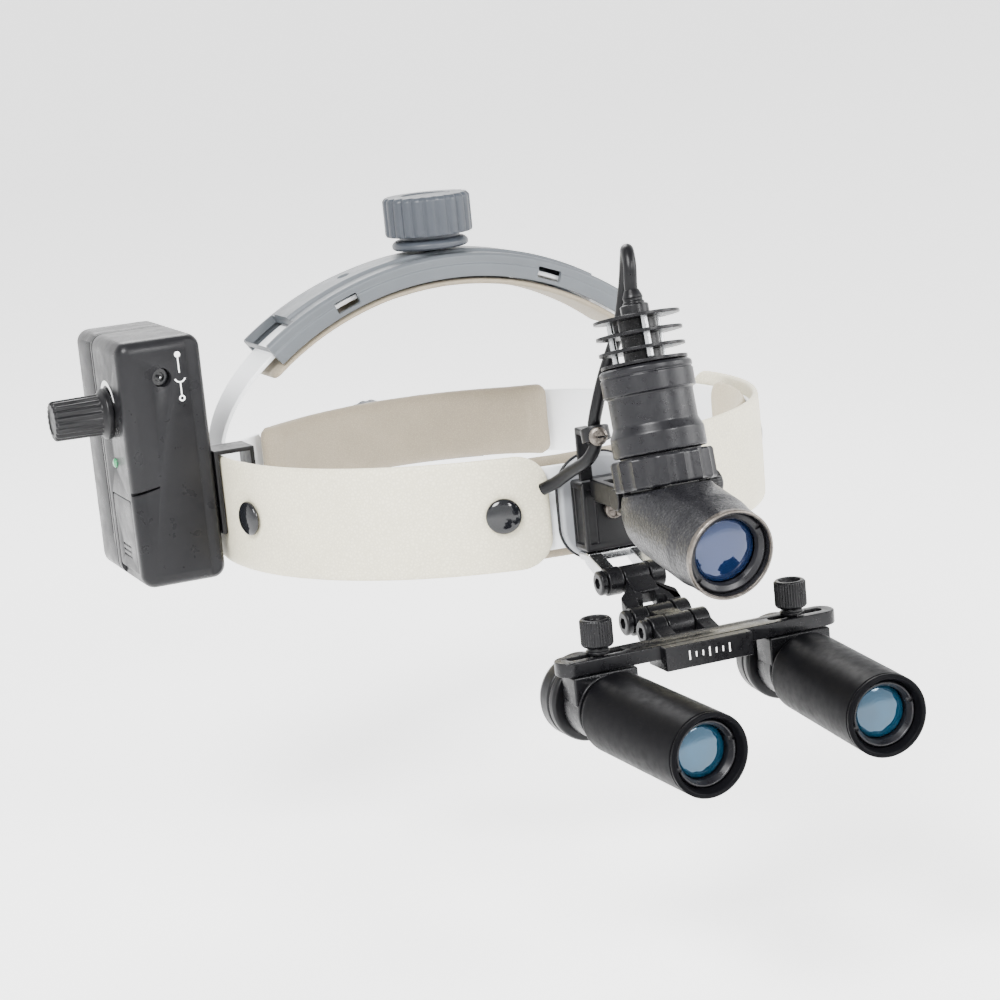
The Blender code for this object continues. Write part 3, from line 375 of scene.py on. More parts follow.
def rounded(outline: Array, radius: float, closed: bool, steps: int = 4) -> Array:
    """Round every corner of a polyline.

    Each corner gives way to a parabola between a point on either of its two
    sides, with one more point just beyond each end so that flats shade flat.

    Args:
        outline: The corners, one a row.
        radius: How far along its sides a corner's curve starts.
        closed: Whether the last corner joins the first.
        steps: Pieces in each curve.

    Returns:
        The rounded polyline.
    """
    before, after = np.roll(outline, 1, axis=0), np.roll(outline, -1, axis=0)
    back, on = before - outline, after - outline
    back_size = np.maximum(np.linalg.norm(back, axis=1, keepdims=True), 1e-9)
    on_size = np.maximum(np.linalg.norm(on, axis=1, keepdims=True), 1e-9)
    first = outline + back / back_size * np.minimum(radius, 0.3 * back_size)
    last = outline + on / on_size * np.minimum(radius, 0.3 * on_size)
    lead = outline + back / back_size * np.minimum(1.5 * radius, 0.45 * back_size)
    trail = outline + on / on_size * np.minimum(1.5 * radius, 0.45 * on_size)
    t = np.linspace(0, 1, steps + 1)[None, :, None]
    curve = ((1 - t) ** 2 * first[:, None] + 2 * t * (1 - t) * outline[:, None]
             + t ** 2 * last[:, None])
    whole = np.concatenate([lead[:, None], curve, trail[:, None]], axis=1)
    if closed:
        return whole.reshape(-1, outline.shape[1])
    middle = whole[1:-1].reshape(-1, outline.shape[1])
    return np.concatenate([outline[:1], middle, outline[-1:]])


def curve_through(points: Sequence[Sequence[float]], per_span: int = 8) -> Array:
    """Carry a Catmull-Rom curve through points: cubics that match slopes.

    Args:
        points: The points, in order.
        per_span: Pieces between two neighbours.

    Returns:
        The curve's points.
    """
    p = np.array(points, float)
    padded = np.concatenate([p[:1], p, p[-1:]])
    p0, p1, p2, p3 = (padded[k:len(padded) - 3 + k, None] for k in range(4))
    t = np.arange(per_span)[None, :, None] / per_span
    spans = 0.5 * (2 * p1 + (p2 - p0) * t + (2 * p0 - 5 * p1 + 4 * p2 - p3) * t ** 2
                   + (3 * p1 - p0 - 3 * p2 + p3) * t ** 3)
    return np.concatenate([spans.reshape(-1, 3), p[-1:]])


def is_closed(mesh: bpy.types.Mesh) -> bool:
    """Return whether a mesh has faces and two of them meet at every edge."""
    edges = np.empty(len(mesh.loops), int)
    mesh.loops.foreach_get("edge_index", edges)
    return len(edges) > 0 and bool((np.bincount(edges, minlength=len(mesh.edges)) == 2).all())


def settle(item: bpy.types.Object, sharp_deg: float = 38.0) -> bpy.types.Object:
    """Merge doubles, unless that opens the mesh, and shade smooth up to an angle."""
    plain = item.data.copy()
    body = bmesh.new()
    body.from_mesh(item.data)
    bmesh.ops.remove_doubles(body, verts=body.verts, dist=2e-6)
    bmesh.ops.dissolve_degenerate(body, edges=body.edges, dist=1e-6)
    loose = [edge for edge in body.edges if not edge.link_faces]
    bmesh.ops.delete(body, geom=loose, context='EDGES')
    bmesh.ops.recalc_face_normals(body, faces=body.faces)
    body.to_mesh(item.data)
    body.free()
    if is_closed(plain) and not is_closed(item.data):
        item.data = plain
    item.data.shade_smooth()
    item.data.set_sharp_from_angle(angle=math.radians(sharp_deg))
    return item


def surface(name: str, grid: Array, wrap_rows: bool = False, wrap_columns: bool = False,
            cap_rows: bool = False) -> bpy.types.Object:
    """Make a mesh from a grid of points.

    Neighbouring points in rows and columns share a four-sided face.

    Args:
        name: The object's name.
        grid: Points in millimetres, shaped (rows, columns, 3).
        wrap_rows: Whether the last row joins the first.
        wrap_columns: Whether the last column joins the first.
        cap_rows: Whether the first and last rows are closed by a face.

    Returns:
        The new object.
    """
    rows, columns = grid.shape[:2]
    index = np.arange(rows * columns).reshape(rows, columns)
    if wrap_rows:
        index = np.concatenate([index, index[:1]])
    if wrap_columns:
        index = np.concatenate([index, index[:, :1]], axis=1)
    quads = np.stack([index[:-1, :-1], index[:-1, 1:], index[1:, 1:], index[1:, :-1]], axis=-1)
    faces: list[list[int]] = quads.reshape(-1, 4).tolist()
    if cap_rows:
        faces += [index[0, :columns][::-1].tolist(), index[-1, :columns].tolist()]
    mesh = bpy.data.meshes.new(name)
    mesh.from_pydata((grid.reshape(-1, 3) * MM).tolist(), [], faces)
    item = bpy.data.objects.new(name, mesh)
    bpy.context.scene.collection.objects.link(item)
    return settle(item)


def turned(name: str, seat: Array, axis: Array, profile: Sequence[tuple[float, float]],
           edge: float = 0.3, segments: int = 96, closed: bool = False,
           wave: Callable[[Array, Array, Array], Array] | None = None) -> bpy.types.Object:
    """Turn a profile about an axis.

    A point is the seat, plus its radius times a direction round the axis,
    plus its height along the axis. Corners are rounded first.

    Args:
        name: The object's name.
        seat: The axis's zero point.
        axis: The axis's direction.
        profile: Pairs of radius and height.
        edge: Size of the rounded corners.
        segments: Pieces round the axis.
        closed: Whether the profile is a closed ring's section.
        wave: What to add to the radius, from angle, radius and height.

    Returns:
        The new object.
    """
    pairs = np.array(profile, float)
    if not closed:
        pairs = np.concatenate([[[0.0, pairs[0, 1]]], pairs, [[0.0, pairs[-1, 1]]]])
    pairs = rounded(pairs, edge, closed)
    angle = np.linspace(0, 2 * np.pi, segments, endpoint=False)[None, :]
    radius, height = pairs[:, :1] + 0 * angle, pairs[:, 1:] + 0 * angle
    if wave is not None:
        radius = radius + wave(angle, radius, height)
    u, v, w = basis(axis)
    grid = (seat + radius[..., None] * (np.cos(angle)[..., None] * u
                                        + np.sin(angle)[..., None] * v)
            + height[..., None] * w)
    return surface(name, grid, wrap_rows=closed, wrap_columns=True)


def flutes(count: int, depth: float, low: float, high: float, over: float,
           power: float = 1.0) -> Callable[[Array, Array, Array], Array]:
    """Grooves along a turned wall.

    The radius drops by the depth times a cosine wave raised to a power,
    between two heights and outside a radius.
    """
    def wave(angle: Array, radius: Array, height: Array) -> Array:
        """Return the grooves' drop."""
        shape = (0.5 + 0.5 * np.cos(count * angle)) ** power
        inside = np.clip((height - low) / 0.8, 0, 1) * np.clip((high - height) / 0.8, 0, 1)
        return -depth * shape * inside * (radius > over)
    return wave


def plate(name: str, outline: Array, origin: Array, across: Array, up: Array,
          low: float, high: float, edge: float = 0.3, edge_low: float | None = None
          ) -> bpy.types.Object:
    """Extrude an outline with rounded edges.

    Every ring is the outline moved inwards along its own normals by the
    edge's inset and along the plate's normal by the edge's height.

    Args:
        name: The object's name.
        outline: Counter-clockwise points in the plate's own plane.
        origin: The outline's zero point.
        across, up: Directions of the outline's two axes.
        low, high: The plate's ends along its normal.
        edge: Radius of the upper edge, and of the lower without edge_low.
        edge_low: Radius of the lower edge.

    Returns:
        The new object.
    """
    lower = edge if edge_low is None else edge_low
    before, after = np.roll(outline, 1, axis=0), np.roll(outline, -1, axis=0)
    along = unit(unit(outline - before) + unit(after - outline))
    normal = np.stack([along[:, 1], -along[:, 0]], axis=1)
    turn = np.linspace(0, np.pi / 2, 6)
    inset = np.concatenate([[lower + min(0.3 * lower, 0.1)], lower * (1 - np.sin(turn)),
                            edge * (1 - np.cos(turn)), [edge + min(0.3 * edge, 0.1)]])
    height = np.concatenate([[low], low + lower * (1 - np.cos(turn)),
                             high - edge * (1 - np.sin(turn)), [high]])
    flat = outline[None] - normal[None] * inset[:, None, None]
    w = np.cross(across, up)
    grid = (origin + flat[..., :1] * across + flat[..., 1:] * up
            + height[:, None, None] * w)
    return surface(name, grid, wrap_columns=True, cap_rows=True)


def box(name: str, low: Sequence[float], high: Sequence[float], edge: float = 0.4
        ) -> bpy.types.Object:
    """Make a block between two corners, with every edge rounded."""
    outline = round_rectangle(low[0], high[0], low[2], high[2], edge * 1.4)
    return plate(name, outline, vec(0, 0, 0), vec(1, 0, 0), vec(0, 0, 1), -high[1], -low[1], edge)


def round_rectangle(a0: float, a1: float, b0: float, b1: float, radius: float,
                    steps: int = 8) -> Array:
    """Return a rectangle's outline with circular corners, counter-clockwise."""
    start = np.radians([-90.0, 0.0, 90.0, 180.0])[:, None]
    angle = start + np.linspace(0, np.pi / 2, steps + 1)[None]
    middle_a = np.array([a1 - radius, a1 - radius, a0 + radius, a0 + radius])[:, None]
    middle_b = np.array([b0 + radius, b1 - radius, b1 - radius, b0 + radius])[:, None]
    return np.stack([middle_a + radius * np.cos(angle), middle_b + radius * np.sin(angle)],
                    axis=-1).reshape(-1, 2)


def swept(name: str, path: Array, out: Array, across: Array, section: Array,
          width: Array | None = None) -> bpy.types.Object:
    """Carry a section along a path.

    A point is the path's point, plus the section's first value across the
    path (times the width there), plus its second value outwards.

    Args:
        name: The object's name.
        path: The path's points.
        out, across: Directions at each of them.
        section: A closed outline of (across, outwards) pairs.
        width: What the first value is multiplied by at each point.

    Returns:
        The new object, with both ends closed.
    """
    scale = np.ones(len(path)) if width is None else width
    grid = (path[:, None] + (section[None, :, :1] * scale[:, None, None]) * across[:, None]
            + section[None, :, 1:] * out[:, None])
    return surface(name, grid, wrap_columns=True, cap_rows=True)


def tube(name: str, path: Array, radius: float | Array, sides: int = 24) -> bpy.types.Object:
    """Carry a circle along a path whose direction is never along X."""
    along = unit(np.gradient(path, axis=0))
    side = unit(np.cross(along, vec(1, 0, 0)))
    other = np.cross(along, side)
    angle = np.linspace(0, 2 * np.pi, sides, endpoint=False)[None, :, None]
    reach = np.broadcast_to(np.asarray(radius, float), (len(path),))[:, None, None]
    grid = path[:, None] + reach * (np.cos(angle) * side[:, None] + np.sin(angle) * other[:, None])
    return surface(name, grid, wrap_columns=True, cap_rows=True)


def cushion(name: str, place: Place, length: float, height: tuple[float, float],
            corner: float, outer: Callable[[Array, Array, Array], Array],
            inner: Callable[[Array, Array, Array], Array], columns: int = 72,
            rows: int = 40) -> bpy.types.Object:
    """Make a pad from two sheets that meet along a rounded rectangle.

    The grid runs along the pad and across it, closer together at the edges.
    Each sheet's offset depends on how far the point is from the pad's edge.

    Args:
        name: The object's name.
        place: Turns distance along, height and offset into points.
        length: The pad's length.
        height: Its lowest and highest heights.
        corner: Radius of its corners.
        outer, inner: Offsets of the two sheets, from distance along, height
            and distance from the edge.
        columns, rows: Pieces along and across.

    Returns:
        The new object.
    """
    middle, half = sum(height) / 2, (height[1] - height[0]) / 2
    turn = corner * (1 - np.cos(np.linspace(0, np.pi / 2, 14)))
    along = np.unique(np.concatenate([turn, np.linspace(corner, length - corner, columns),
                                      length - turn]).round(6))
    end = np.minimum(along, length - along)
    reach = half - corner + np.sqrt(np.maximum(0, corner ** 2
                                               - np.maximum(corner - end, 0) ** 2))
    share = np.sin(np.pi / 2 * np.linspace(-1, 1, rows + 1))
    s = along[:, None] + 0 * share[None]
    z = reach[:, None] * share[None]
    qx = np.abs(s - length / 2) - (length / 2 - corner)
    qz = np.abs(z) - (half - corner)
    distance = corner - np.hypot(np.maximum(qx, 0), np.maximum(qz, 0)) \
        - np.minimum(np.maximum(qx, qz), 0)
    distance = np.maximum(distance, 0)
    z = z + middle
    top = place(s, z, outer(s, z, distance))
    bottom = place(s, z, inner(s, z, distance))
    grid = np.concatenate([top, bottom[:, ::-1]], axis=1)
    return surface(name, grid, wrap_columns=True, cap_rows=False)


def rolled(distance: Array, radius: float) -> Array:
    """Return a quarter-round from 0 at the edge to 1 at the radius."""
    return np.sqrt(1 - (1 - np.clip(distance / radius, 0, 1)) ** 2)


def applied(item: bpy.types.Object) -> bpy.types.Object:
    """Replace an object's mesh by what its modifiers make of it."""
    graph = bpy.context.evaluated_depsgraph_get()
    mesh = bpy.data.meshes.new_from_object(item.evaluated_get(graph))
    item.modifiers.clear()
    item.data = mesh
    mesh.name = item.name
    return item


def shaped(base: bpy.types.Object, tools: Sequence[bpy.types.Object], operation: str
           ) -> bpy.types.Object:
    """Join tools to a body or cut them out of it, and remove them.

    Args:
        base: The body that is kept.
        tools: The bodies that are used up.
        operation: 'UNION' or 'DIFFERENCE'.

    Returns:
        The body.
    """
    for tool in tools:
        before = base.data.copy()
        for crossing in (False, True):
            base.data = before.copy()
            step = base.modifiers.new("shape", 'BOOLEAN')
            step.operation = operation
            step.solver = 'EXACT'
            step.use_self = crossing
            step.object = tool
            applied(base)
            if is_closed(base.data):
                break
        bpy.data.objects.remove(tool, do_unlink=True)
    return settle(base)


def softened(item: bpy.types.Object, width: float = 0.25) -> bpy.types.Object:
    """Bevel the sharp edges that cutting and joining leave, if it stays closed."""
    plain = item.data.copy()
    bevel = item.modifiers.new("edges", 'BEVEL')
    bevel.width = width * MM
    bevel.segments = 2
    bevel.limit_method = 'ANGLE'
    bevel.angle_limit = math.radians(40)
    applied(item)
    if not is_closed(item.data):
        item.data = plain
    return settle(item)


@dataclass
class Puff:
    """A short cloth run that swells a pad.

    The pad is enlarged for the run, as cloth settings suit furniture, and
    made small again afterwards.

    Attributes:
        voxel: Size of the remeshed pad's faces.
        cap: How far a point may move.
        pressure: The cloth's inner pressure.
        scale: How much larger the pad is while it runs.
        frames: How many frames it runs.
    """

    voxel: float = 1.3
    cap: float = 0.8
    pressure: float = 4.0
    scale: float = 12.0
    frames: int = 20

    def run(self, item: bpy.types.Object) -> bpy.types.Object:
        """Swell a pad in place, and subdivide it once.

        Args:
            item: The pad, slightly smaller than it should be.

        Returns:
            The same pad.
        """
        size = self.scale
        item.data.transform(Matrix.Scale(size, 4))
        mesh = item.modifiers.new("remesh", 'REMESH')
        mesh.mode = 'VOXEL'
        mesh.voxel_size = self.voxel * MM * size
        applied(item)
        rest = self.points(item)
        cloth = item.modifiers.new("cloth", 'CLOTH')
        cloth.settings.use_pressure = True
        cloth.settings.uniform_pressure_force = self.pressure
        cloth.settings.effector_weights.gravity = 0.0
        cloth.point_cache.frame_end = self.frames
        scene = bpy.context.scene
        for number in range(1, self.frames + 1):
            scene.frame_set(number)
        applied(item)
        scene.frame_set(1)
        moved = self.points(item) - rest
        reach = np.linalg.norm(moved, axis=1, keepdims=True)
        limit = self.cap * MM * size
        moved *= np.minimum(1.0, limit / np.maximum(reach, 1e-9))
        item.data.vertices.foreach_set("co", ((rest + moved) / size).ravel())
        item.data.update()
        smooth = item.modifiers.new("smooth", 'SUBSURF')
        smooth.levels = 1
        smooth.render_levels = 1
        return settle(applied(item), 80.0)

    @staticmethod
    def points(item: bpy.types.Object) -> Array:
        """Return a mesh's points as an array."""
        flat = np.zeros(len(item.data.vertices) * 3)
        item.data.vertices.foreach_get("co", flat)
        return flat.reshape(-1, 3)


def fit(item: bpy.types.Object, body: str | tuple[str, str], finish: Finish, slot: str,
        *nodes: str, bend: tuple[Array, Array] | None = None) -> bpy.types.Object:
    """Dress a piece and tie it to a body of the frame, or, with a bend, bake it where it lies.

    Args:
        item: The finished piece.
        body: The body it rides on, or two bodies that are only named in the log.
        finish: Its finish.
        slot: The record's material slot.
        nodes: The frame's nodes that it stands for.
        bend: Whether to bake the piece in place instead of tying it to a body; its two points are
            not used.

    Returns:
        The same piece.
    """
    item.data.materials.clear()
    item.data.materials.append(finish.material())
    if bend is None:
        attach(item, body)
    else:
        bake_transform(item)
    if nodes:
        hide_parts(*nodes)
    log.info("%s: %d faces on %s", item.name, len(item.data.polygons), body)
    return item


# ---------------------------------------------------------------- head ring
@dataclass
class HeadRing:
    """The padded ring: band, side pads, linings, snaps, rivets and brow pieces.

    Attributes:
        half_length: Half the ring's length outside the pads.
        half_width: Half its width.
        taper: How much narrower the back half is.
        band_inset: From the pads' outside to the band.
        band_thick: The band's thickness.
        pad_height: Height of the side pads.
        pad_corner: Radius of their corners.
        pad_span: Where a side pad starts and ends, in degrees from the front.
        snap_degrees: Where the snaps sit.
        snap_radius: Radius of a snap's head.
    """

    half_length: float = 100.0
    half_width: float = 95.7
    taper: float = 0.09
    band_inset: float = 2.3
    band_thick: float = 1.6
    pad_height: float = 36.6
    pad_corner: float = 10.0
    pad_span: tuple[float, float] = (8.5, 98.0)
    snap_degrees: tuple[float, float] = (17.0, 72.0)
    snap_radius: float = 5.7

    def outline(self, degrees: Array) -> tuple[Array, Array]:
        """Return points and outward directions on the ring.

        X is the half width times the sine, widened by the taper times the
        cosine, and Y is the half length times minus the cosine. Positive
        angles go to the wearer's right.
        """
        a = np.radians(degrees)
        x = -self.half_width * np.sin(a) * (1 + self.taper * np.cos(a))
        y = -self.half_length * np.cos(a)
        dx = -self.half_width * (np.cos(a) + self.taper * np.cos(2 * a))
        dy = self.half_length * np.sin(a)
        out = unit(np.stack([-dy, dx, 0 * a], axis=-1))
        point = np.stack([x, y, 0 * a], axis=-1)
        facing = np.sign((out * point).sum(-1, keepdims=True))
        return point, out * facing

    def along(self, start: float, end: float) -> tuple[float, Place]:
        """Return a stretch's length and how to place points on it."""
        length = math.radians(abs(end - start)) * 95.0

        def place(s: Array, z: Array, offset: Array) -> Array:
            """Put distance along, height and offset on the ring."""
            point, out = self.outline(start + (end - start) * s / length)
            return point + out * offset[..., None] + z[..., None] * vec(0, 0, 1)
        return length, place

    def build(self) -> None:
        """Build every piece of the ring."""
        self.band()
        for side in Side:
            self.cover(side)
            self.lining(side)
            self.fasteners(side)
        self.brow()

    def band(self) -> None:
        """Build the white band and its straight rear tabs."""
        tab = abs(self.outline(np.array(98.0))[0][0]) - self.band_inset
        y = np.array([33.0, 30.0, 27.0, 22.0, 18.5, 16.5, 14.5, 11.5])
        step = 1.2 * np.clip((y - 14.5) / 4.0, 0, 1)
        degrees = np.linspace(-93, 93, 94)
        point, out = self.outline(degrees)
        left = np.stack([tab + step, y, 0 * y], axis=-1)
        right = np.stack([-(tab + step), y, 0 * y], axis=-1)[::-1]
        path = np.concatenate([left, point - out * self.band_inset, right])
        outward = np.concatenate([np.tile(vec(1, 0, 0), (8, 1)), out,
                                  np.tile(vec(-1, 0, 0), (8, 1))])
        width = np.ones(len(path))
        width[:4] = width[-4:][::-1] = [0.66, 0.86, 0.96, 1.0]
        section = rounded(np.array([[-13.5, 0], [13.5, 0], [13.5, -self.band_thick],
                                    [-13.5, -self.band_thick]]), 0.5, True)
        item = swept("band", path, outward, np.tile(vec(0, 0, 1), (len(path), 1)),
                     section, width)
        fit(item, "ring", WHITE, "white_plastic", "front_band")

    def cover(self, side: Side) -> None:
        """Build a side's leather pad, dimpled where the snaps pull it in."""
        sign = -side.value
        start, end = (sign * x for x in self.pad_span)
        length, place = self.along(start, end)
        spots = [(abs(d - self.pad_span[0]) / (self.pad_span[1] - self.pad_span[0])) * length
                 for d in self.snap_degrees]

        def outer(s: Array, z: Array, d: Array) -> Array:
            """A rolled edge, a soft crown, and a dimple round each snap."""
            dimple = sum(0.55 * np.exp(-((s - spot) ** 2 + z ** 2) / (2 * 5.2 ** 2))
                         for spot in spots)
            ripple = 0.05 * np.sin(s / 7.3 + 1.3 * np.sin(z / 6.1)) * np.sin(z / 5.2 + s / 19)
            crown = 0.85 * rolled(d, 1.9) + 0.25 * rolled(d, 14)
            return -0.95 + crown + (ripple - dimple) * rolled(d, 2.5)

        def inner(s: Array, z: Array, d: Array) -> Array:
            """The flat back, rolled at its edge."""
            return -0.95 - 0.95 * rolled(d, 1.2)

        item = cushion(f"cover_{side.word}", place, length,
                       (-self.pad_height / 2, self.pad_height / 2), self.pad_corner,
                       outer, inner, 96, 48)
        fit(item, "ring", COVER, "pad_leather", f"side_pad_{side.word}")

    def lining(self, side: Side) -> None:
        """Build a side's padded lining inside the band."""
        sign = -side.value
        length, place = self.along(sign * 10.8, sign * 87.2)

        def outer(s: Array, z: Array, d: Array) -> Array:
            """The back that lies on the band."""
            return -5.5 + 1.0 * rolled(d, 1.6)

        def inner(s: Array, z: Array, d: Array) -> Array:
            """The face towards the head."""
            return -5.5 - 1.2 * rolled(d, 2.2)

        item = cushion(f"lining_{side.word}", place, length, (-17.2, 17.2), 8.0, outer, inner)
        Puff(cap=0.6).run(item)
        # The lining's darker leather is painted shade on the same leather as the cover.
        fit(item, "ring", SHADED_LINING, "pad_leather", f"side_liner_{side.word}")

    def fasteners(self, side: Side) -> None:
        """Build a side's two domed snaps and the rivet of its rear tab."""
        for word, degrees in zip(("front", "rear"), self.snap_degrees):
            point, out = self.outline(np.array(-side.value * degrees))
            r = self.snap_radius
            dome = [(r * math.cos(t), 0.95 + 1.9 * math.sin(t))
                    for t in np.radians([0, 12, 24, 36, 48, 60, 72, 84])]
            item = turned(f"snap_cap_{word}_{side.word}", point, out,
                          [(1.5, -5.3), (1.5, 0.2), (r - 0.5, 0.25), (r, 0.5)] + dome,
                          edge=0.2, segments=64)
            fit(item, "ring", SNAP, "snap", f"snap_{word}_{side.word}")
        low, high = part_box(f"side_rivet_{side.word}")
        outer = max(abs(low.x), abs(high.x)) / MM
        inner = min(abs(low.x), abs(high.x)) / MM
        seat = vec(side.value * outer, (low.y + high.y) / 2 / MM, (low.z + high.z) / 2 / MM)
        depth = outer - inner
        item = turned(f"rivet_{side.word}", seat, vec(side.value, 0, 0),
                      [(3.9, -depth + 0.05), (3.9, -depth + 1.1), (1.7, -depth + 1.2),
                       (1.7, -1.5), (4.5, -1.4), (4.5, -0.9), (3.6, -0.35), (2.0, -0.05)],
                      segments=48)
        fit(item, "ring", SNAP, "snap", f"side_rivet_{side.word}")

    def brow(self) -> None:
        """Build the brow plate with its dark rim, and the brow pad behind it."""
        outline = round_rectangle(-13.0, 13.0, -17.3, 16.1, 11.0, 14)
        face = plate("brow_face", outline, vec(0, 0, 0), vec(1, 0, 0), vec(0, 0, 1),
                     98.4, 102.2, 1.1, 0.4)
        fit(face, "ring", PLATE, "grey_plastic", "brow_plate")
        rim = round_rectangle(-13.1, 13.1, -17.4, 16.2, 11.0, 14)
        path = np.stack([rim[:, 0], 0 * rim[:, 0] - 99.3, rim[:, 1]], axis=-1)
        after = np.roll(path, -1, axis=0) - np.roll(path, 1, axis=0)
        out = unit(np.cross(unit(after), vec(0, 1, 0)))
        angle = np.linspace(0, 2 * np.pi, 16, endpoint=False)[None, :, None]
        grid = path[:, None] + 0.55 * (np.cos(angle) * out[:, None]
                                       + np.sin(angle) * vec(0, 1, 0))
        edge = surface("brow_rim", grid, wrap_rows=True, wrap_columns=True)
        fit(edge, "ring", BLACK, "black_plastic")
        length, place = self.along(-25.5, 25.5)

        def outer(s: Array, z: Array, d: Array) -> Array:
            """The back that lies on the band."""
            return -10.0 + 2.0 * rolled(d, 2.4)

        def inner(s: Array, z: Array, d: Array) -> Array:
            """The face towards the brow."""
            return -10.0 - 2.0 * rolled(d, 4.0)

        item = cushion("brow_cushion", place, length, (-18.6, 16.6), 5.0, outer, inner)
        Puff(cap=0.7).run(item)
        fit(item, "ring", WEBBING, "liner", "brow_pad")


# ---------------------------------------------------------------- front mount
@dataclass
class FrontMount:
    """The block on the brow plate with its screw, lamp arm and cable clip.

    Attributes:
        tilt_y, tilt_z: The lamp's tilt axis.
        face_y: Front of the block.
    """

    tilt_y: float = -133.0
    tilt_z: float = 7.0
    face_y: float = -111.8

    def build(self) -> None:
        """Build every piece of the mount."""
        self.block()
        self.arm()
        self.clip()

    def block(self) -> None:
        """Build the block: a body with a recessed frame on either cheek."""
        body = box("block_body", (-9.9, self.face_y, -12.9), (9.9, -102.7, 9.3), 0.7)
        cuts = [box("cut", (-4.6, -114.0, 4.0), (4.6, -108.5, 13.0), 0.2)]
        for side in (-1, 1):
            x = sorted((side * 9.2, side * 12.0))
            cuts.append(box("cut", (x[0], -110.4, -10.8), (x[1], -104.2, 7.2), 0.5))
            x = sorted((side * 5.4, side * 8.6))
            cuts.append(box("cut", (x[0], -113.0, -10.6), (x[1], -111.1, 7.0), 0.5))
        item = softened(shaped(body, cuts, 'DIFFERENCE'), 0.2)
        fit(item, "ring", BLACK, "black_plastic", "mount_block")
        head = turned("block_screw_head", vec(0, -112.1, 0), vec(0, -1, 0),
                      [(1.5, -9.0), (1.5, 0.0), (3.2, 0.05), (3.2, 1.3), (2.5, 1.9)],
                      segments=48, wave=flutes(18, 0.18, -0.2, 1.6, 2.8))
        slots = [box("cut", (-0.4, -116.0, -2.2), (0.4, -113.4, 2.2), 0.1),
                 box("cut", (-2.2, -116.0, -0.4), (2.2, -113.4, 0.4), 0.1)]
        item = shaped(head, slots, 'DIFFERENCE')
        fit(item, "ring", SCREW, "black_screw", "block_screw")

    def arm(self) -> None:
        """Build the lamp arm's two cheeks and their bridge."""
        base = box("lamp_cheeks", (-7.3, -118.0, 4.3), (7.3, -112.4, 10.5), 0.5)
        adds = [box("add", (-4.2, -117.0, 4.4), (4.2, -108.9, 9.4), 0.3)]
        for side in (-1, 1):
            x = sorted((side * 4.7, side * 7.3))
            adds.append(box("add", (x[0], -131.0, 3.5), (x[1], -114.6, 10.5), 0.4))
            adds.append(turned("add", vec(side * 4.7, self.tilt_y, self.tilt_z),
                               vec(side, 0, 0), [(4.5, 0), (4.5, 2.6)], 0.4, 64))
        item = softened(shaped(base, adds, 'UNION'), 0.2)
        fit(item, "ring", BLACK, "black_plastic", "lamp_arm")
        knob = turned("tilt_knob_cap", vec(0, self.tilt_y, self.tilt_z), vec(1, 0, 0),
                      [(3.3, -8.9), (3.3, -7.9), (1.7, -7.8), (1.7, 19.9), (3.0, 20.1),
                       (3.0, 21.7), (4.7, 21.9), (4.8, 24.6), (4.2, 26.4), (2.6, 27.5)],
                      edge=0.5, segments=72, wave=flutes(24, 0.22, 21.8, 26.6, 3.4))
        fit(knob, "tilt_knob", BLACK, "black_plastic", "tilt_knob")

    def clip(self) -> None:
        """Build the cable clip: a stalk, a hoop and its slotted screw."""
        stalk = box("clip_stalk", (-9.7, -110.9, 9.8), (-5.3, -109.5, 26.9), 0.4)
        adds = [box("add", (-9.7, -117.5, 24.5), (-5.3, -109.6, 26.9), 0.5),
                turned("add", vec(-7.5, -120.6, 25.7), vec(0, 0.35, 1),
                       [(2.9, -2.2), (4.5, -2.2), (4.5, 2.2), (2.9, 2.2)], 0.3, 48, True)]
        item = softened(shaped(stalk, adds, 'UNION'), 0.15)
        fit(item, "ring", BLACK, "black_plastic", "cable_clip")
        screw = turned("clip_screw", vec(-8.4, -124.6, 25.7), vec(-0.35, -1, 0.1),
                       [(2.9, -1.0), (2.9, 0.4), (2.0, 1.0)], 0.3, 40)
        item = shaped(screw, [box("cut", (-11.5, -127.6, 25.3), (-5.5, -125.2, 25.9), 0.1)],
                      'DIFFERENCE')
        fit(item, "ring", SCREW, "black_screw")


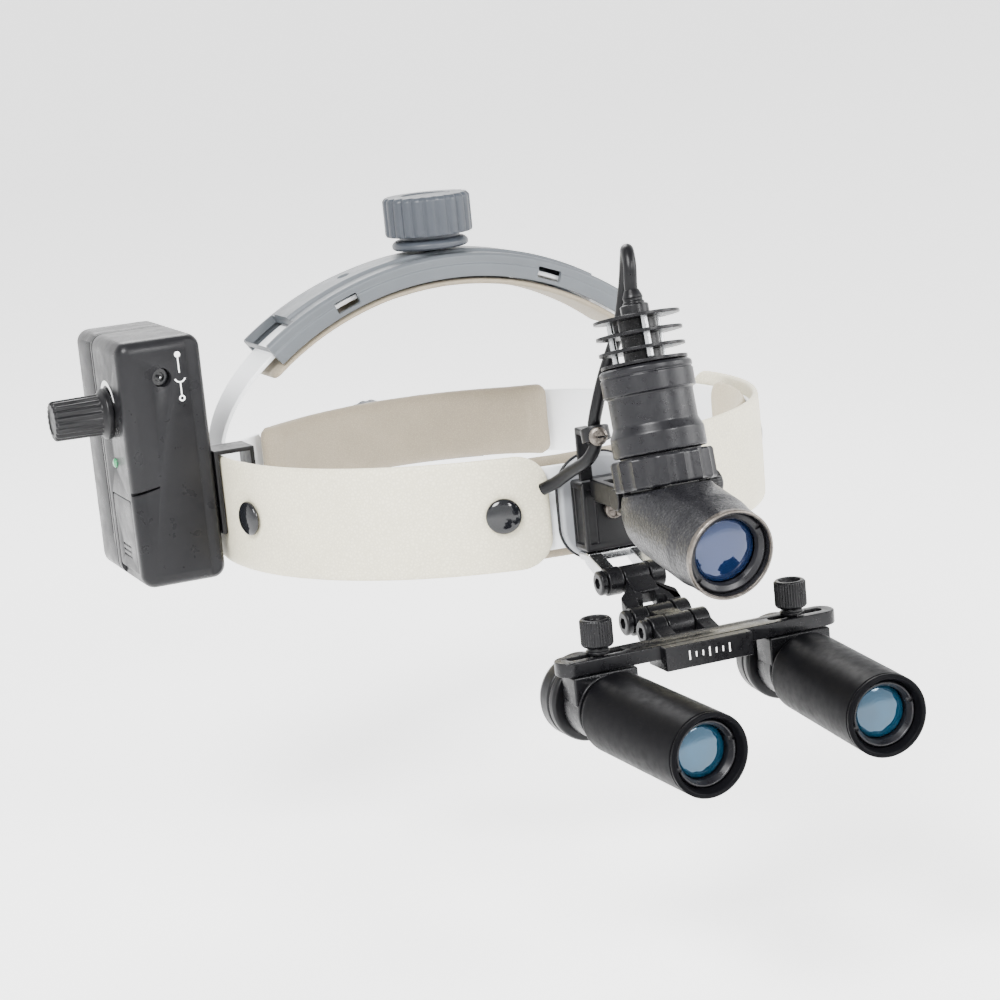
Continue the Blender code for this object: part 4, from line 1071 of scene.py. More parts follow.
# ---------------------------------------------------------------- rear unit
@dataclass
class RearUnit:
    """The rear ratchet: housing, pad, knob and the two straps.

    Attributes:
        centre_y: Centre of the straps' arc.
        radius: Outside of the straps.
        level: Height of the knob's axis.
        thick: The straps' thickness.
    """

    centre_y: float = 14.9
    radius: float = 85.0
    level: float = -3.0
    thick: float = 1.6

    def arc(self, degrees: Array) -> tuple[Array, Array]:
        """Return unit directions on the arc and its centre."""
        a = np.radians(degrees)
        return np.stack([np.sin(a), np.cos(a), 0 * a], axis=-1), vec(0, self.centre_y, 0)

    def along(self, half: float, radius: float) -> tuple[float, Place]:
        """Return an arc's length and how to place points on it."""
        length = 2 * math.radians(half) * radius

        def place(s: Array, z: Array, offset: Array) -> Array:
            """Put distance along, height and offset on the arc."""
            out, centre = self.arc(-half + 2 * half * s / length)
            return centre + out * (radius + offset)[..., None] + z[..., None] * vec(0, 0, 1)
        return length, place

    def build(self) -> None:
        """Build every piece of the rear unit."""
        self.housing()
        self.pad()
        self.knob()
        for side in Side:
            self.strap(side)

    def housing(self) -> None:
        """Build the channel that holds the two racks, as a soft-edged shell."""
        degrees = np.linspace(-26.8, 26.8, 60)
        out, centre = self.arc(degrees)
        section = rounded(np.array([[-15.5, 80.9], [9.1, 80.9], [9.1, 86.4], [7.6, 88.1],
                                    [-14.0, 88.1], [-15.5, 86.4]]), 0.9, True)
        up = np.tile(vec(0, 0, 1), (60, 1))
        body = swept("rear_shell", np.tile(centre, (60, 1)), out, up, section)
        hollow_degrees = np.linspace(-32, 32, 60)
        hollow_out, _ = self.arc(hollow_degrees)
        hollow = rounded(np.array([[-13.2, 79.0], [7.2, 79.0], [7.2, 85.8], [-13.2, 85.8]]),
                         0.3, True)
        tool = swept("cut", np.tile(centre, (60, 1)), hollow_out, up, hollow)
        bore = turned("cut", vec(0, 90, self.level), vec(0, 1, 0), [(3.2, 0), (3.2, 26)], 0.1, 32)
        item = softened(shaped(body, [tool, bore], 'DIFFERENCE'), 0.3)
        fit(item, "rear_unit", GREY, "grey_plastic", "rear_housing")

    def pad(self) -> None:
        """Build the nape pad."""
        length, place = self.along(47.5, 76.6)

        def outer(s: Array, z: Array, d: Array) -> Array:
            """The back that lies on the housing."""
            return 0.2 + 3.2 * rolled(d, 3.0)

        def inner(s: Array, z: Array, d: Array) -> Array:
            """The face towards the head, with a shallow crown."""
            return 0.2 - 2.2 * rolled(d, 4.0) - 0.6 * rolled(d, 14.0)

        item = cushion("nape_cushion", place, length, (-15.1, 12.6), 4.0, outer, inner, 90, 36)
        Puff(cap=0.6, voxel=1.5).run(item)
        fit(item, "rear_unit", WEBBING, "liner", "rear_pad")

    def knob(self) -> None:
        """Build the rear knob with its flutes and the stem behind it."""
        seat = vec(0, self.centre_y, self.level)
        item = turned("rear_knob_cap", seat, vec(0, 1, 0),
                      [(4.7, 82.6), (4.7, 85.4), (2.6, 85.6), (2.6, 88.5), (10.0, 88.7),
                       (10.0, 90.6), (12.5, 90.8), (12.5, 99.0), (11.2, 100.4), (6.5, 100.5),
                       (6.0, 99.6)],
                      edge=0.6, segments=160, wave=flutes(20, 0.8, 90.8, 99.6, 11.0, 2.0))
        fit(item, "rear_knob", KNOB, "grey_plastic", "rear_knob")

    def strap(self, side: Side) -> None:
        """Build a strap: wide beside the head, half as wide behind it.

        The teeth stay inside the housing, so the narrow tongue is plain.
        """
        sign = side.value
        degrees = np.concatenate([np.linspace(94, 42, 50), np.linspace(41, 28, 12)]) * sign
        out, centre = self.arc(degrees)
        path = centre + out * self.radius + vec(0, 0, self.level)
        width = np.clip(0.68 + (94.2 - np.abs(degrees)) / 5.0, 0, 1)
        top = np.where(np.abs(degrees) > 41.5, 1.0, 0.80)
        section = rounded(np.array([[-12.0, 0], [12.0, 0], [12.0, -self.thick],
                                    [-12.0, -self.thick]]), 0.4, True)
        item = swept(f"rear_band_{side.word}", path, out,
                     np.tile(vec(0, 0, 1), (len(path), 1)), section, width * top)
        hole = turned("cut", vec(side.value * 78, 25, 0), vec(side.value, 0, 0),
                      [(3.4, 0), (3.4, 17)], 0.1, 32)
        fit(shaped(item, [hole], 'DIFFERENCE'), f"rear_strap_{side.word}", WHITE,
            "white_plastic", f"rear_strap_{side.word}")


# ---------------------------------------------------------------- crown unit
@dataclass
class CrownUnit:
    """The band over the head: channel, lining, knob and the two straps.

    Attributes:
        plane_y: The plane that the band lies in.
        centre_z: Centre of its arc.
        radius: Outside of the channel.
        half: Half of the channel's angle.
        strap_radius: Outside of the straps in the channel.
        strap_x: Middle of the straps beside the head.
    """

    plane_y: float = 25.5
    centre_z: float = -42.0
    radius: float = 114.5
    half: float = 37.0
    strap_radius: float = 110.2
    strap_x: float = 87.1
    thick: float = 1.6

    def arc(self, degrees: Array) -> tuple[Array, Array]:
        """Return unit directions on the arc and its centre."""
        a = np.radians(degrees)
        return (np.stack([np.sin(a), 0 * a, np.cos(a)], axis=-1),
                vec(0, self.plane_y, self.centre_z))

    def sweep(self, name: str, half: float, section: Sequence[tuple[float, float]],
              edge: float) -> bpy.types.Object:
        """Carry a section of (across, radius) pairs round the arc."""
        out, centre = self.arc(np.linspace(-half, half, 80))
        return swept(name, np.tile(centre, (80, 1)), out, np.tile(vec(0, 1, 0), (80, 1)),
                     rounded(np.array(section, float), edge, True))

    def build(self) -> None:
        """Build every piece of the crown unit."""
        self.housing()
        self.lining()
        self.knob()
        for side in Side:
            self.strap(side)

    def housing(self) -> None:
        """Build the channel: a raised back, two lips, windows and cut ends."""
        r = self.radius
        section = [(-15.5, 106.3), (-15.5, 110.6), (-14.9, 111.0), (-14.9, r - 0.9),
                   (-13.6, r), (-8.0, r), (-7.2, r + 1.2), (7.2, r + 1.2), (8.0, r),
                   (13.6, r), (14.9, r - 0.9), (14.9, 111.0), (15.5, 110.6), (15.5, 106.3),
                   (14.4, 106.3), (13.3, 107.6), (13.3, 111.6), (-13.3, 111.6),
                   (-13.3, 107.6), (-14.4, 106.3)]
        body = self.sweep("crown_channel", self.half, section, 0.45)
        cuts = [turned("cut", vec(0, self.plane_y, 60), vec(0, 0, 1), [(3.2, 0), (3.2, 30)],
                       0.1, 32)]
        for sign in (-1, 1):
            cuts.append(self.tilted_box(sign * 20.5, 109.6, (9.0, 80.0, 4.0), 0.5))
            cuts.append(self.tilted_box(sign * 33.6, 116.0, (13.0, 24.6, 12.0), 2.4))
            spot = self.arc(np.array(sign * 41.4))
            centre = spot[1] + spot[0] * 119.0 - vec(0, 20, 0)
            cuts.append(turned("cut", centre, vec(0, 1, 0), [(10.5, 0), (10.5, 40)], 0.1, 72))
        dimple = self.arc(np.array(-17.0))
        cuts.append(turned("cut", dimple[1] + dimple[0] * (r + 2.6), dimple[0],
                           [(1.4, -2.4), (2.6, -1.2), (3.0, 1.0)], 0.5, 40))
        item = softened(shaped(body, cuts, 'DIFFERENCE'), 0.25)
        fit(item, "crown_unit", GREY, "grey_plastic", "crown_housing")

    def tilted_box(self, degrees: float, radius: float, size: tuple[float, float, float],
                   edge: float) -> bpy.types.Object:
        """Make a cutting block square to the arc: along, across and outwards."""
        length, wide, tall = size
        tool = plate("cut", round_rectangle(-length / 2, length / 2, -tall / 2, tall / 2, edge),
                     vec(0, 0, 0), vec(1, 0, 0), vec(0, 0, 1), -wide / 2, wide / 2, 0.1)
        out, centre = self.arc(np.array(degrees))
        turn = Matrix.Translation(Vector((centre + out * radius) * MM))
        tool.data.transform(turn @ Matrix.Rotation(math.radians(degrees), 4, 'Y'))
        return tool

    def lining(self) -> None:
        """Build the soft lining that rims the channel's underside."""
        half, radius = 40.4, 104.6
        length = 2 * math.radians(half) * radius

        def place(s: Array, z: Array, offset: Array) -> Array:
            """Put distance along, distance across and offset on the arc."""
            out, centre = self.arc(-half + 2 * half * s / length)
            return centre + out * (radius + offset)[..., None] + z[..., None] * vec(0, 1, 0)

        def outer(s: Array, z: Array, d: Array) -> Array:
            """The back inside the channel's lips."""
            return 1.1 * rolled(d, 1.3)

        def inner(s: Array, z: Array, d: Array) -> Array:
            """The face towards the head."""
            return -1.0 * rolled(d, 1.6)

        item = cushion("crown_lining", place, length, (-14.9, 14.9), 3.0, outer, inner, 110, 30)
        Puff(cap=0.35, voxel=1.1).run(item)
        fit(item, "crown_unit", WEBBING, "liner", "crown_liner")

    def knob(self) -> None:
        """Build the crown knob over its stepped flange."""
        item = turned("crown_knob_cap", vec(0, self.plane_y, 0), vec(0, 0, 1),
                      [(4.7, 66.0), (4.7, 68.9), (2.6, 69.0), (2.6, 74.4), (12.6, 74.5),
                       (13.6, 75.2), (13.6, 76.6), (12.4, 77.8), (10.8, 78.0), (10.8, 79.4),
                       (15.2, 79.5), (15.6, 80.2), (15.6, 92.2), (14.6, 93.4), (9.0, 93.5),
                       (8.4, 92.9)],
                      edge=0.5, segments=200, wave=flutes(22, 0.75, 79.3, 94.0, 14.0, 3.0))
        fit(item, "crown_knob", KNOB, "grey_plastic", "crown_knob")

    def strap(self, side: Side) -> None:
        """Build a strap: along the channel, then down beside the head.

        Below the channel the middle line is a cubic Bezier curve, and the
        strap narrows evenly along it.
        """
        sign = side.value
        degrees = np.linspace(13, 36, 24) * sign
        out, centre = self.arc(degrees)
        arc = centre + out * self.strap_radius
        start, normal = arc[-1], out[-1]
        slope = vec(normal[2] * sign, 0, -abs(normal[0]))
        drop = vec(sign * (self.strap_x + self.thick / 2), self.plane_y, 12.0)
        t = np.linspace(0, 1, 34)[1:, None]
        first, second = start + slope * 14, drop + vec(0, 0, 14)
        curve = ((1 - t) ** 3 * start + 3 * (1 - t) ** 2 * t * first
                 + 3 * (1 - t) * t ** 2 * second + t ** 3 * drop)
        speed = unit(3 * (1 - t) ** 2 * (first - start) + 6 * (1 - t) * t * (second - first)
                     + 3 * t ** 2 * (drop - second))
        side_out = np.stack([-speed[:, 2], 0 * t[:, 0], speed[:, 0]], axis=-1) * sign
        z = np.array([8.0, 4.0, 0.0, -3.0, -5.0, -6.3, -7.0])
        tail = np.stack([0 * z + drop[0], 0 * z + self.plane_y, z], axis=-1)
        path = np.concatenate([arc, curve, tail])
        outward = np.concatenate([out, side_out, np.tile(vec(sign, 0, 0), (7, 1))])
        width = np.concatenate([np.clip(0 * degrees + 0.99, 0, 1), 1 - 0.345 * t[:, 0],
                                [0.655, 0.655, 0.65, 0.62, 0.52, 0.36, 0.2]])
        section = rounded(np.array([[-11.0, 0], [11.0, 0], [11.0, -self.thick],
                                    [-11.0, -self.thick]]), 0.45, True)
        item = swept(f"crown_band_{side.word}", path, outward,
                     np.tile(vec(0, 1, 0), (len(path), 1)), section, width)
        hole = turned("cut", vec(sign * 70, 25, 0), vec(sign, 0, 0), [(2.5, 0), (2.5, 25)],
                      0.1, 32)
        fit(shaped(item, [hole], 'DIFFERENCE'), f"crown_strap_{side.word}", WHITE,
            "white_plastic", f"crown_strap_{side.word}")


# ---------------------------------------------------------------- linkage
@dataclass
class Linkage:
    """The hinged arm between the mount and the loupes' bar.

    Attributes:
        fork, elbow, yoke: Y and Z of the three hinge axes.
        eye: Radius of the outer knuckles.
        inner: Half width of the inner knuckles.
        low, high: Where an outer knuckle starts and ends.
    """

    fork: tuple[float, float] = (-122.5, -20.5)
    elbow: tuple[float, float] = (-139.0, -30.0)
    yoke: tuple[float, float] = (-151.5, -30.5)
    eye: float = 4.4
    inner: float = 4.2
    low: float = 4.7
    high: float = 9.6

    def knuckle(self, spot: tuple[float, float], x0: float, x1: float,
                radius: float | None = None) -> bpy.types.Object:
        """Turn a knuckle between two places on a hinge's axis."""
        r = self.eye if radius is None else radius
        return turned("knuckle", vec(x0, *spot), vec(1, 0, 0), [(r, 0), (r, x1 - x0)], 0.45, 56)

    def bore(self, spot: tuple[float, float], reach: float = 12.0) -> bpy.types.Object:
        """Make the cutter for a hinge's hole."""
        return turned("cut", vec(-reach, *spot), vec(1, 0, 0), [(2.1, 0), (2.1, 2 * reach)],
                      0.05, 32)

    def web(self, start: tuple[float, float], end: tuple[float, float], x0: float, x1: float,
            half_start: float, half_end: float) -> bpy.types.Object:
        """Make a flat arm between two axes, narrowing from one to the other."""
        a, b = np.array(start), np.array(end)
        normal = unit(np.array([-(b - a)[1], (b - a)[0]]))
        outline = np.array([a - normal * half_start, b - normal * half_end,
                            b + normal * half_end, a + normal * half_start])
        return plate("web", rounded(outline, 0.9, True, 3), vec(0, 0, 0), vec(0, 1, 0),
                     vec(0, 0, 1), x0, x1, 0.3)

    def build(self) -> None:
        """Build every piece of the linkage."""
        self.legs()
        self.upper()
        self.lower()
        for name, spot, body in (("fork_pin", self.fork, "ring"),
                                 ("link_pin_upper", self.elbow, "upper_link"),
                                 ("link_pin_lower", self.yoke, "lower_link")):
            self.pin(name, spot, body)

    def legs(self) -> None:
        """Build the bright fork legs and the black knuckles under them."""
        top = box("fork_legs", (-9.5, -111.5, -16.3), (9.5, -104.1, -13.4), 0.5)
        adds = []
        for side in (-1, 1):
            x0, x1 = sorted((side * self.low, side * self.high))
            adds.append(self.web((-108.3, -14.9), (-120.2, -19.4), x0 + 0.2, x1 - 0.2, 2.0, 2.6))
        item = softened(shaped(top, adds, 'UNION'), 0.3)
        fit(item, "ring", STEEL, "steel", "loupe_fork")
        for side in (-1, 1):
            x0, x1 = sorted((side * self.low, side * self.high))
            eye = shaped(self.knuckle(self.fork, x0, x1), [self.bore(self.fork)], 'DIFFERENCE')
            eye.name = f"fork_eye_{'right' if side < 0 else 'left'}"
            fit(eye, "ring", ANODISED, "black_metal")

    def upper(self) -> None:
        """Build the upper link: a neck that widens to two knuckles."""
        item = self.knuckle(self.fork, -self.inner, self.inner, 4.15)
        item.name = "upper_arm"
        adds = [self.web(self.fork, (-131.0, -25.4), -self.inner + 0.12, self.inner - 0.12,
                         3.0, 2.8)]
        for side in (-1, 1):
            x0, x1 = sorted((side * self.low, side * self.high))
            near, far = side * (self.low + 0.13), side * (self.high - 0.13)
            start = side * 2.3 + 0.07
            outline = np.array([[start, -127.0], [far, -132.8], [far, -136.6],
                                [near, -136.6], [near, -133.9], [start, -133.9]])
            outline = outline if side < 0 else outline[::-1]
            wing = plate("wing", rounded(outline, 0.7, True, 3), vec(0, 0, 0), vec(1, 0, 0),
                         vec(0, 1, 0), -2.8, 2.8, 0.2)
            shear = Matrix(((1, 0, 0, 0), (0, 1, 0, 0), (0, 0.58, 1, (0.58 * 131 - 25.4) * MM),
                            (0, 0, 0, 1)))
            wing.data.transform(shear)
            adds += [wing, self.knuckle(self.elbow, x0, x1)]
        item = shaped(item, adds, 'UNION')
        item = softened(shaped(item, [self.bore(self.fork, 6), self.bore(self.elbow)],
                               'DIFFERENCE'), 0.2)
        fit(item, "upper_link", ANODISED, "black_metal", "upper_link")

    def lower(self) -> None:
        """Build the lower link: two inner knuckles and the arm between them."""
        item = self.knuckle(self.elbow, -self.inner, self.inner, 4.15)
        item.name = "lower_arm"
        adds = [self.web(self.elbow, self.yoke, -self.inner + 0.12, self.inner - 0.12, 3.0, 3.0),
                self.knuckle(self.yoke, -self.inner, self.inner, 4.15)]
        item = shaped(item, adds, 'UNION')
        item = softened(shaped(item, [self.bore(self.elbow, 6), self.bore(self.yoke, 6)],
                               'DIFFERENCE'), 0.2)
        fit(item, "lower_link", ANODISED, "black_metal", "lower_link")

    def pin(self, name: str, spot: tuple[float, float], body: str) -> None:
        """Build a hinge pin with a hexagonal socket in its head."""
        item = turned(f"{name}_bolt", vec(0, *spot), vec(-1, 0, 0),
                      [(1.75, -9.8), (1.75, 9.9), (3.8, 10.0), (3.9, 11.7), (3.2, 12.15)],
                      0.35, 64)
        turn = np.radians(np.arange(0, 360, 60))
        outline = 1.9 * np.stack([np.cos(turn), np.sin(turn)], axis=-1)
        socket = plate("cut", outline, vec(0, *spot), vec(0, 1, 0), vec(0, 0, 1),
                       -14.0, -10.9, 0.02)
        fit(shaped(item, [socket], 'DIFFERENCE'), body, ANODISED, "steel", name)


# ---------------------------------------------------------------- loupes
@dataclass
class Bridge:
    """The slotted bar that carries the two loupes.

    Attributes:
        half: Half the bar's length.
        front, back: The bar's Y limits.
        top, thick: Height of its top and its thickness.
    """

    half: float = 46.0
    front: float = -169.0
    back: float = -159.5
    top: float = -30.5
    thick: float = 4.3

    def build(self, linkage: Linkage) -> None:
        """Build the bar with its lugs, slots and blank scale block.

        Args:
            linkage: The arm that the bar hangs from.
        """
        bar = plate("bar", round_rectangle(-self.half, self.half, self.front, self.back, 4.4),
                    vec(0, 0, 0), vec(1, 0, 0), vec(0, 1, 0), self.top - self.thick, self.top,
                    0.45)
        slots, adds = [], []
        for side in (-1, 1):
            x0, x1 = sorted((side * 24.0, side * 42.4))
            slots.append(plate("cut", round_rectangle(x0, x1, -166.1, -162.5, 1.75),
                               vec(0, 0, 0), vec(1, 0, 0), vec(0, 1, 0), -40.0, -20.0, 0.02))
        item = shaped(bar, slots, 'DIFFERENCE')
        adds.append(box("add", (-14.4, -172.3, -37.9), (14.4, -160.5, self.top - 0.15), 0.3))
        for side in (-1, 1):
            x0, x1 = sorted((side * linkage.low, side * linkage.high))
            adds.append(linkage.web(linkage.yoke, (-161.0, -32.2), x0, x1, 2.9, 1.7))
            adds.append(linkage.knuckle(linkage.yoke, x0 - 0.03, x1 + 0.03))
        item = shaped(item, adds, 'UNION')
        item = softened(shaped(item, [linkage.bore(linkage.yoke)], 'DIFFERENCE'), 0.22)
        fit(item, "bridge", ANODISED, "black_metal", "bridge_bar")
        self.scale()

    def scale(self) -> None:
        """Build the plain tick scale on the block's front face."""
        ticks = []
        for k, tall in enumerate((2.8, 1.6, 1.6, 2.8, 1.6, 1.6, 2.8)):
            x = (k - 3) * 2.2
            ticks.append(box(f"tick_{k}", (x - 0.22, -172.42, -34.1 - tall / 2),
                             (x + 0.22, -172.2, -34.1 + tall / 2), 0.03))
        join_pieces(ticks, "bar_scale")
        fit(ticks[0], "bridge", MARK, "white_plastic")


def join_pieces(items: Sequence[bpy.types.Object], name: str) -> bpy.types.Object:
    """Merge loose pieces into the first one, under a new name."""
    body = bmesh.new()
    for item in items:
        body.from_mesh(item.data)
    body.to_mesh(items[0].data)
    body.free()
    for item in items[1:]:
        bpy.data.objects.remove(item, do_unlink=True)
    items[0].name = name
    items[0].data.shade_smooth()
    items[0].data.set_sharp_from_angle(angle=math.radians(38))
    return items[0]


@dataclass
class Eye:
    """One loupe: clamp, barrel, lenses, thumbscrew and eyecup.

    Attributes:
        side: Which of the wearer's eyes it serves.
        pupil: Distance between the two barrels at their clamps.
        seat_y, seat_z: Where the barrel's zero lies.
        converge, decline: How the barrel turns inwards and down, in degrees.
        neck: Radius of the barrel's neck.
        radius: Radius of its body.
        front: Height of its front along its axis.
    """

    side: Side
    pupil: float = 64.5
    seat_y: float = -163.8
    seat_z: float = -46.0
    converge: float = 4.0
    decline: float = 1.6
    neck: float = 8.8
    radius: float = 12.2
    front: float = 61.3

    @property
    def seat(self) -> Array:
        """The barrel's zero point."""
        return vec(self.side.value * self.pupil / 2, self.seat_y, self.seat_z)

    @property
    def axis(self) -> Array:
        """The barrel's direction, towards its front."""
        turn, dip = math.radians(self.converge), math.radians(self.decline)
        return vec(-self.side.value * math.sin(turn) * math.cos(dip),
                   -math.cos(turn) * math.cos(dip), -math.sin(dip))

    def turned(self, name: str, profile: Sequence[tuple[float, float]], edge: float = 0.3,
               segments: int = 128, closed: bool = False,
               wave: Callable[[Array, Array, Array], Array] | None = None
               ) -> bpy.types.Object:
        """Turn a profile about the barrel's axis."""
        return turned(name, self.seat, self.axis, profile, edge, segments, closed, wave)

    def build(self) -> None:
        """Build every piece of the loupe."""
        self.clamp()
        self.barrel()
        self.optics()
        self.screw()
        self.eyecup()

    def clamp(self) -> None:
        """Build the clamp: a hoop under a block, split at the back."""
        x, word = self.seat[0], self.side.word
        block = box(f"clamp_block_{word}", (x - 10.3, -168.8, -44.0), (x + 10.3, -159.5, -35.2),
                    0.6)
        hoop = self.turned("add", [(10.4, -4.6), (10.4, 4.9)], 0.5, 72)
        item = shaped(block, [hoop], 'UNION')
        cuts = [self.turned("cut", [(self.neck + 0.3, -12), (self.neck + 0.3, 12)], 0.05, 72),
                turned("cut", vec(x, -164.3, -45), vec(0, 0, 1), [(1.8, 0), (1.8, 25)], 0.05, 32)]
        item = softened(shaped(item, cuts, 'DIFFERENCE'), 0.25)
        fit(item, f"carriage_{word}", ANODISED, "black_metal", f"clamp_{word}")

    def barrel(self) -> None:
        """Build the barrel as one closed wall, from the neck to the rim."""
        r, f = self.radius, self.front
        profile = [(self.neck, -5.8), (self.neck, 7.5), (r - 1.3, 7.7), (r - 0.5, 8.6),
                   (r - 0.5, 9.4), (r - 0.15, 9.5), (r, 10.3), (r, f - 2.0),
                   (r - 0.25, f - 1.9), (r - 0.25, f - 1.5), (r, f - 1.4),
                   (r, f - 0.4), (r - 0.9, f), (r - 1.5, f - 0.4), (r - 2.3, f - 3.2),
                   (r - 2.3, f - 6.8), (6.4, f - 7.2), (6.4, -5.8)]
        item = self.turned(f"tube_{self.side.word}", profile, 0.28, 160, True)
        fit(item, f"carriage_{self.side.word}", MATT, "barrel_black",
            f"barrel_{self.side.word}")

    def optics(self) -> None:
        """Build the retaining ring, with its key slots, and the lens."""
        f, body = self.front, f"carriage_{self.side.word}"
        outer = self.turned("ring_a", [(9.85, f - 3.3), (9.3, f - 2.5), (8.9, f - 2.5),
                                       (7.9, f - 4.2), (7.9, f - 6.6), (9.85, f - 6.6)],
                            0.22, 128, True)
        u, v, w = basis(self.axis)
        slots = []
        for turn in np.radians([18.0, 198.0]):
            out = np.cos(turn) * u + np.sin(turn) * v
            across = np.cross(w, out)
            slots.append(plate("cut", round_rectangle(-0.7, 0.7, 8.1, 10.4, 0.1),
                               self.seat, across, out, f - 3.6, f - 1.0, 0.05)
                         if np.dot(np.cross(across, out), w) > 0 else
                         plate("cut", round_rectangle(-0.7, 0.7, 8.1, 10.4, 0.1),
                               self.seat, -across, out, f - 3.6, f - 1.0, 0.05))
        item = shaped(outer, slots, 'DIFFERENCE')
        item.name = f"retainer_{self.side.word}"
        fit(item, body, LAMP, "barrel_black")
        curve = [(7.85 * math.cos(t), f - 6.4 + 2.2 * math.sin(t))
                 for t in np.radians(np.arange(0, 90, 9))]
        lens = self.turned(f"front_lens_{self.side.word}", [(7.85, f - 7.4)] + curve, 0.1, 96)
        fit(lens, body, LOUPE_GLASS, "lens_glass", f"objective_{self.side.word}")

    def screw(self) -> None:
        """Build the knurled thumbscrew with its collar and recessed top."""
        seat = vec(self.seat[0], -164.3, -30.5)
        item = turned(f"thumb_{self.side.word}", seat, vec(0, 0, 1),
                      [(1.5, -4.9), (1.5, 0.25), (3.6, 0.3), (3.7, 1.2), (3.2, 1.5), (3.2, 2.3),
                       (4.3, 2.6), (4.85, 3.2), (4.85, 10.3), (4.3, 10.9), (3.4, 10.9),
                       (3.1, 9.6)],
                      0.22, 144, wave=flutes(36, 0.28, 3.0, 10.9, 4.0))
        fit(item, f"thumbscrew_{self.side.word}", ANODISED, "black_metal",
            f"thumbscrew_{self.side.word}")

    def eyecup(self) -> None:
        """Build the soft eyecup behind the clamp."""
        item = self.turned(f"eyecup_{self.side.word}",
                           [(12.3, -6.4), (12.8, -7.3), (12.8, -9.2), (12.4, -9.6),
                            (12.4, -10.2), (12.8, -10.6), (12.8, -14.9), (11.6, -17.5),
                            (9.0, -18.5), (6.8, -18.5), (6.6, -8.0), (7.4, -6.4)],
                           0.45, 120, True)
        fit(item, f"eyepiece_{self.side.word}", RUBBER, "black_plastic",
            f"eyepiece_{self.side.word}")


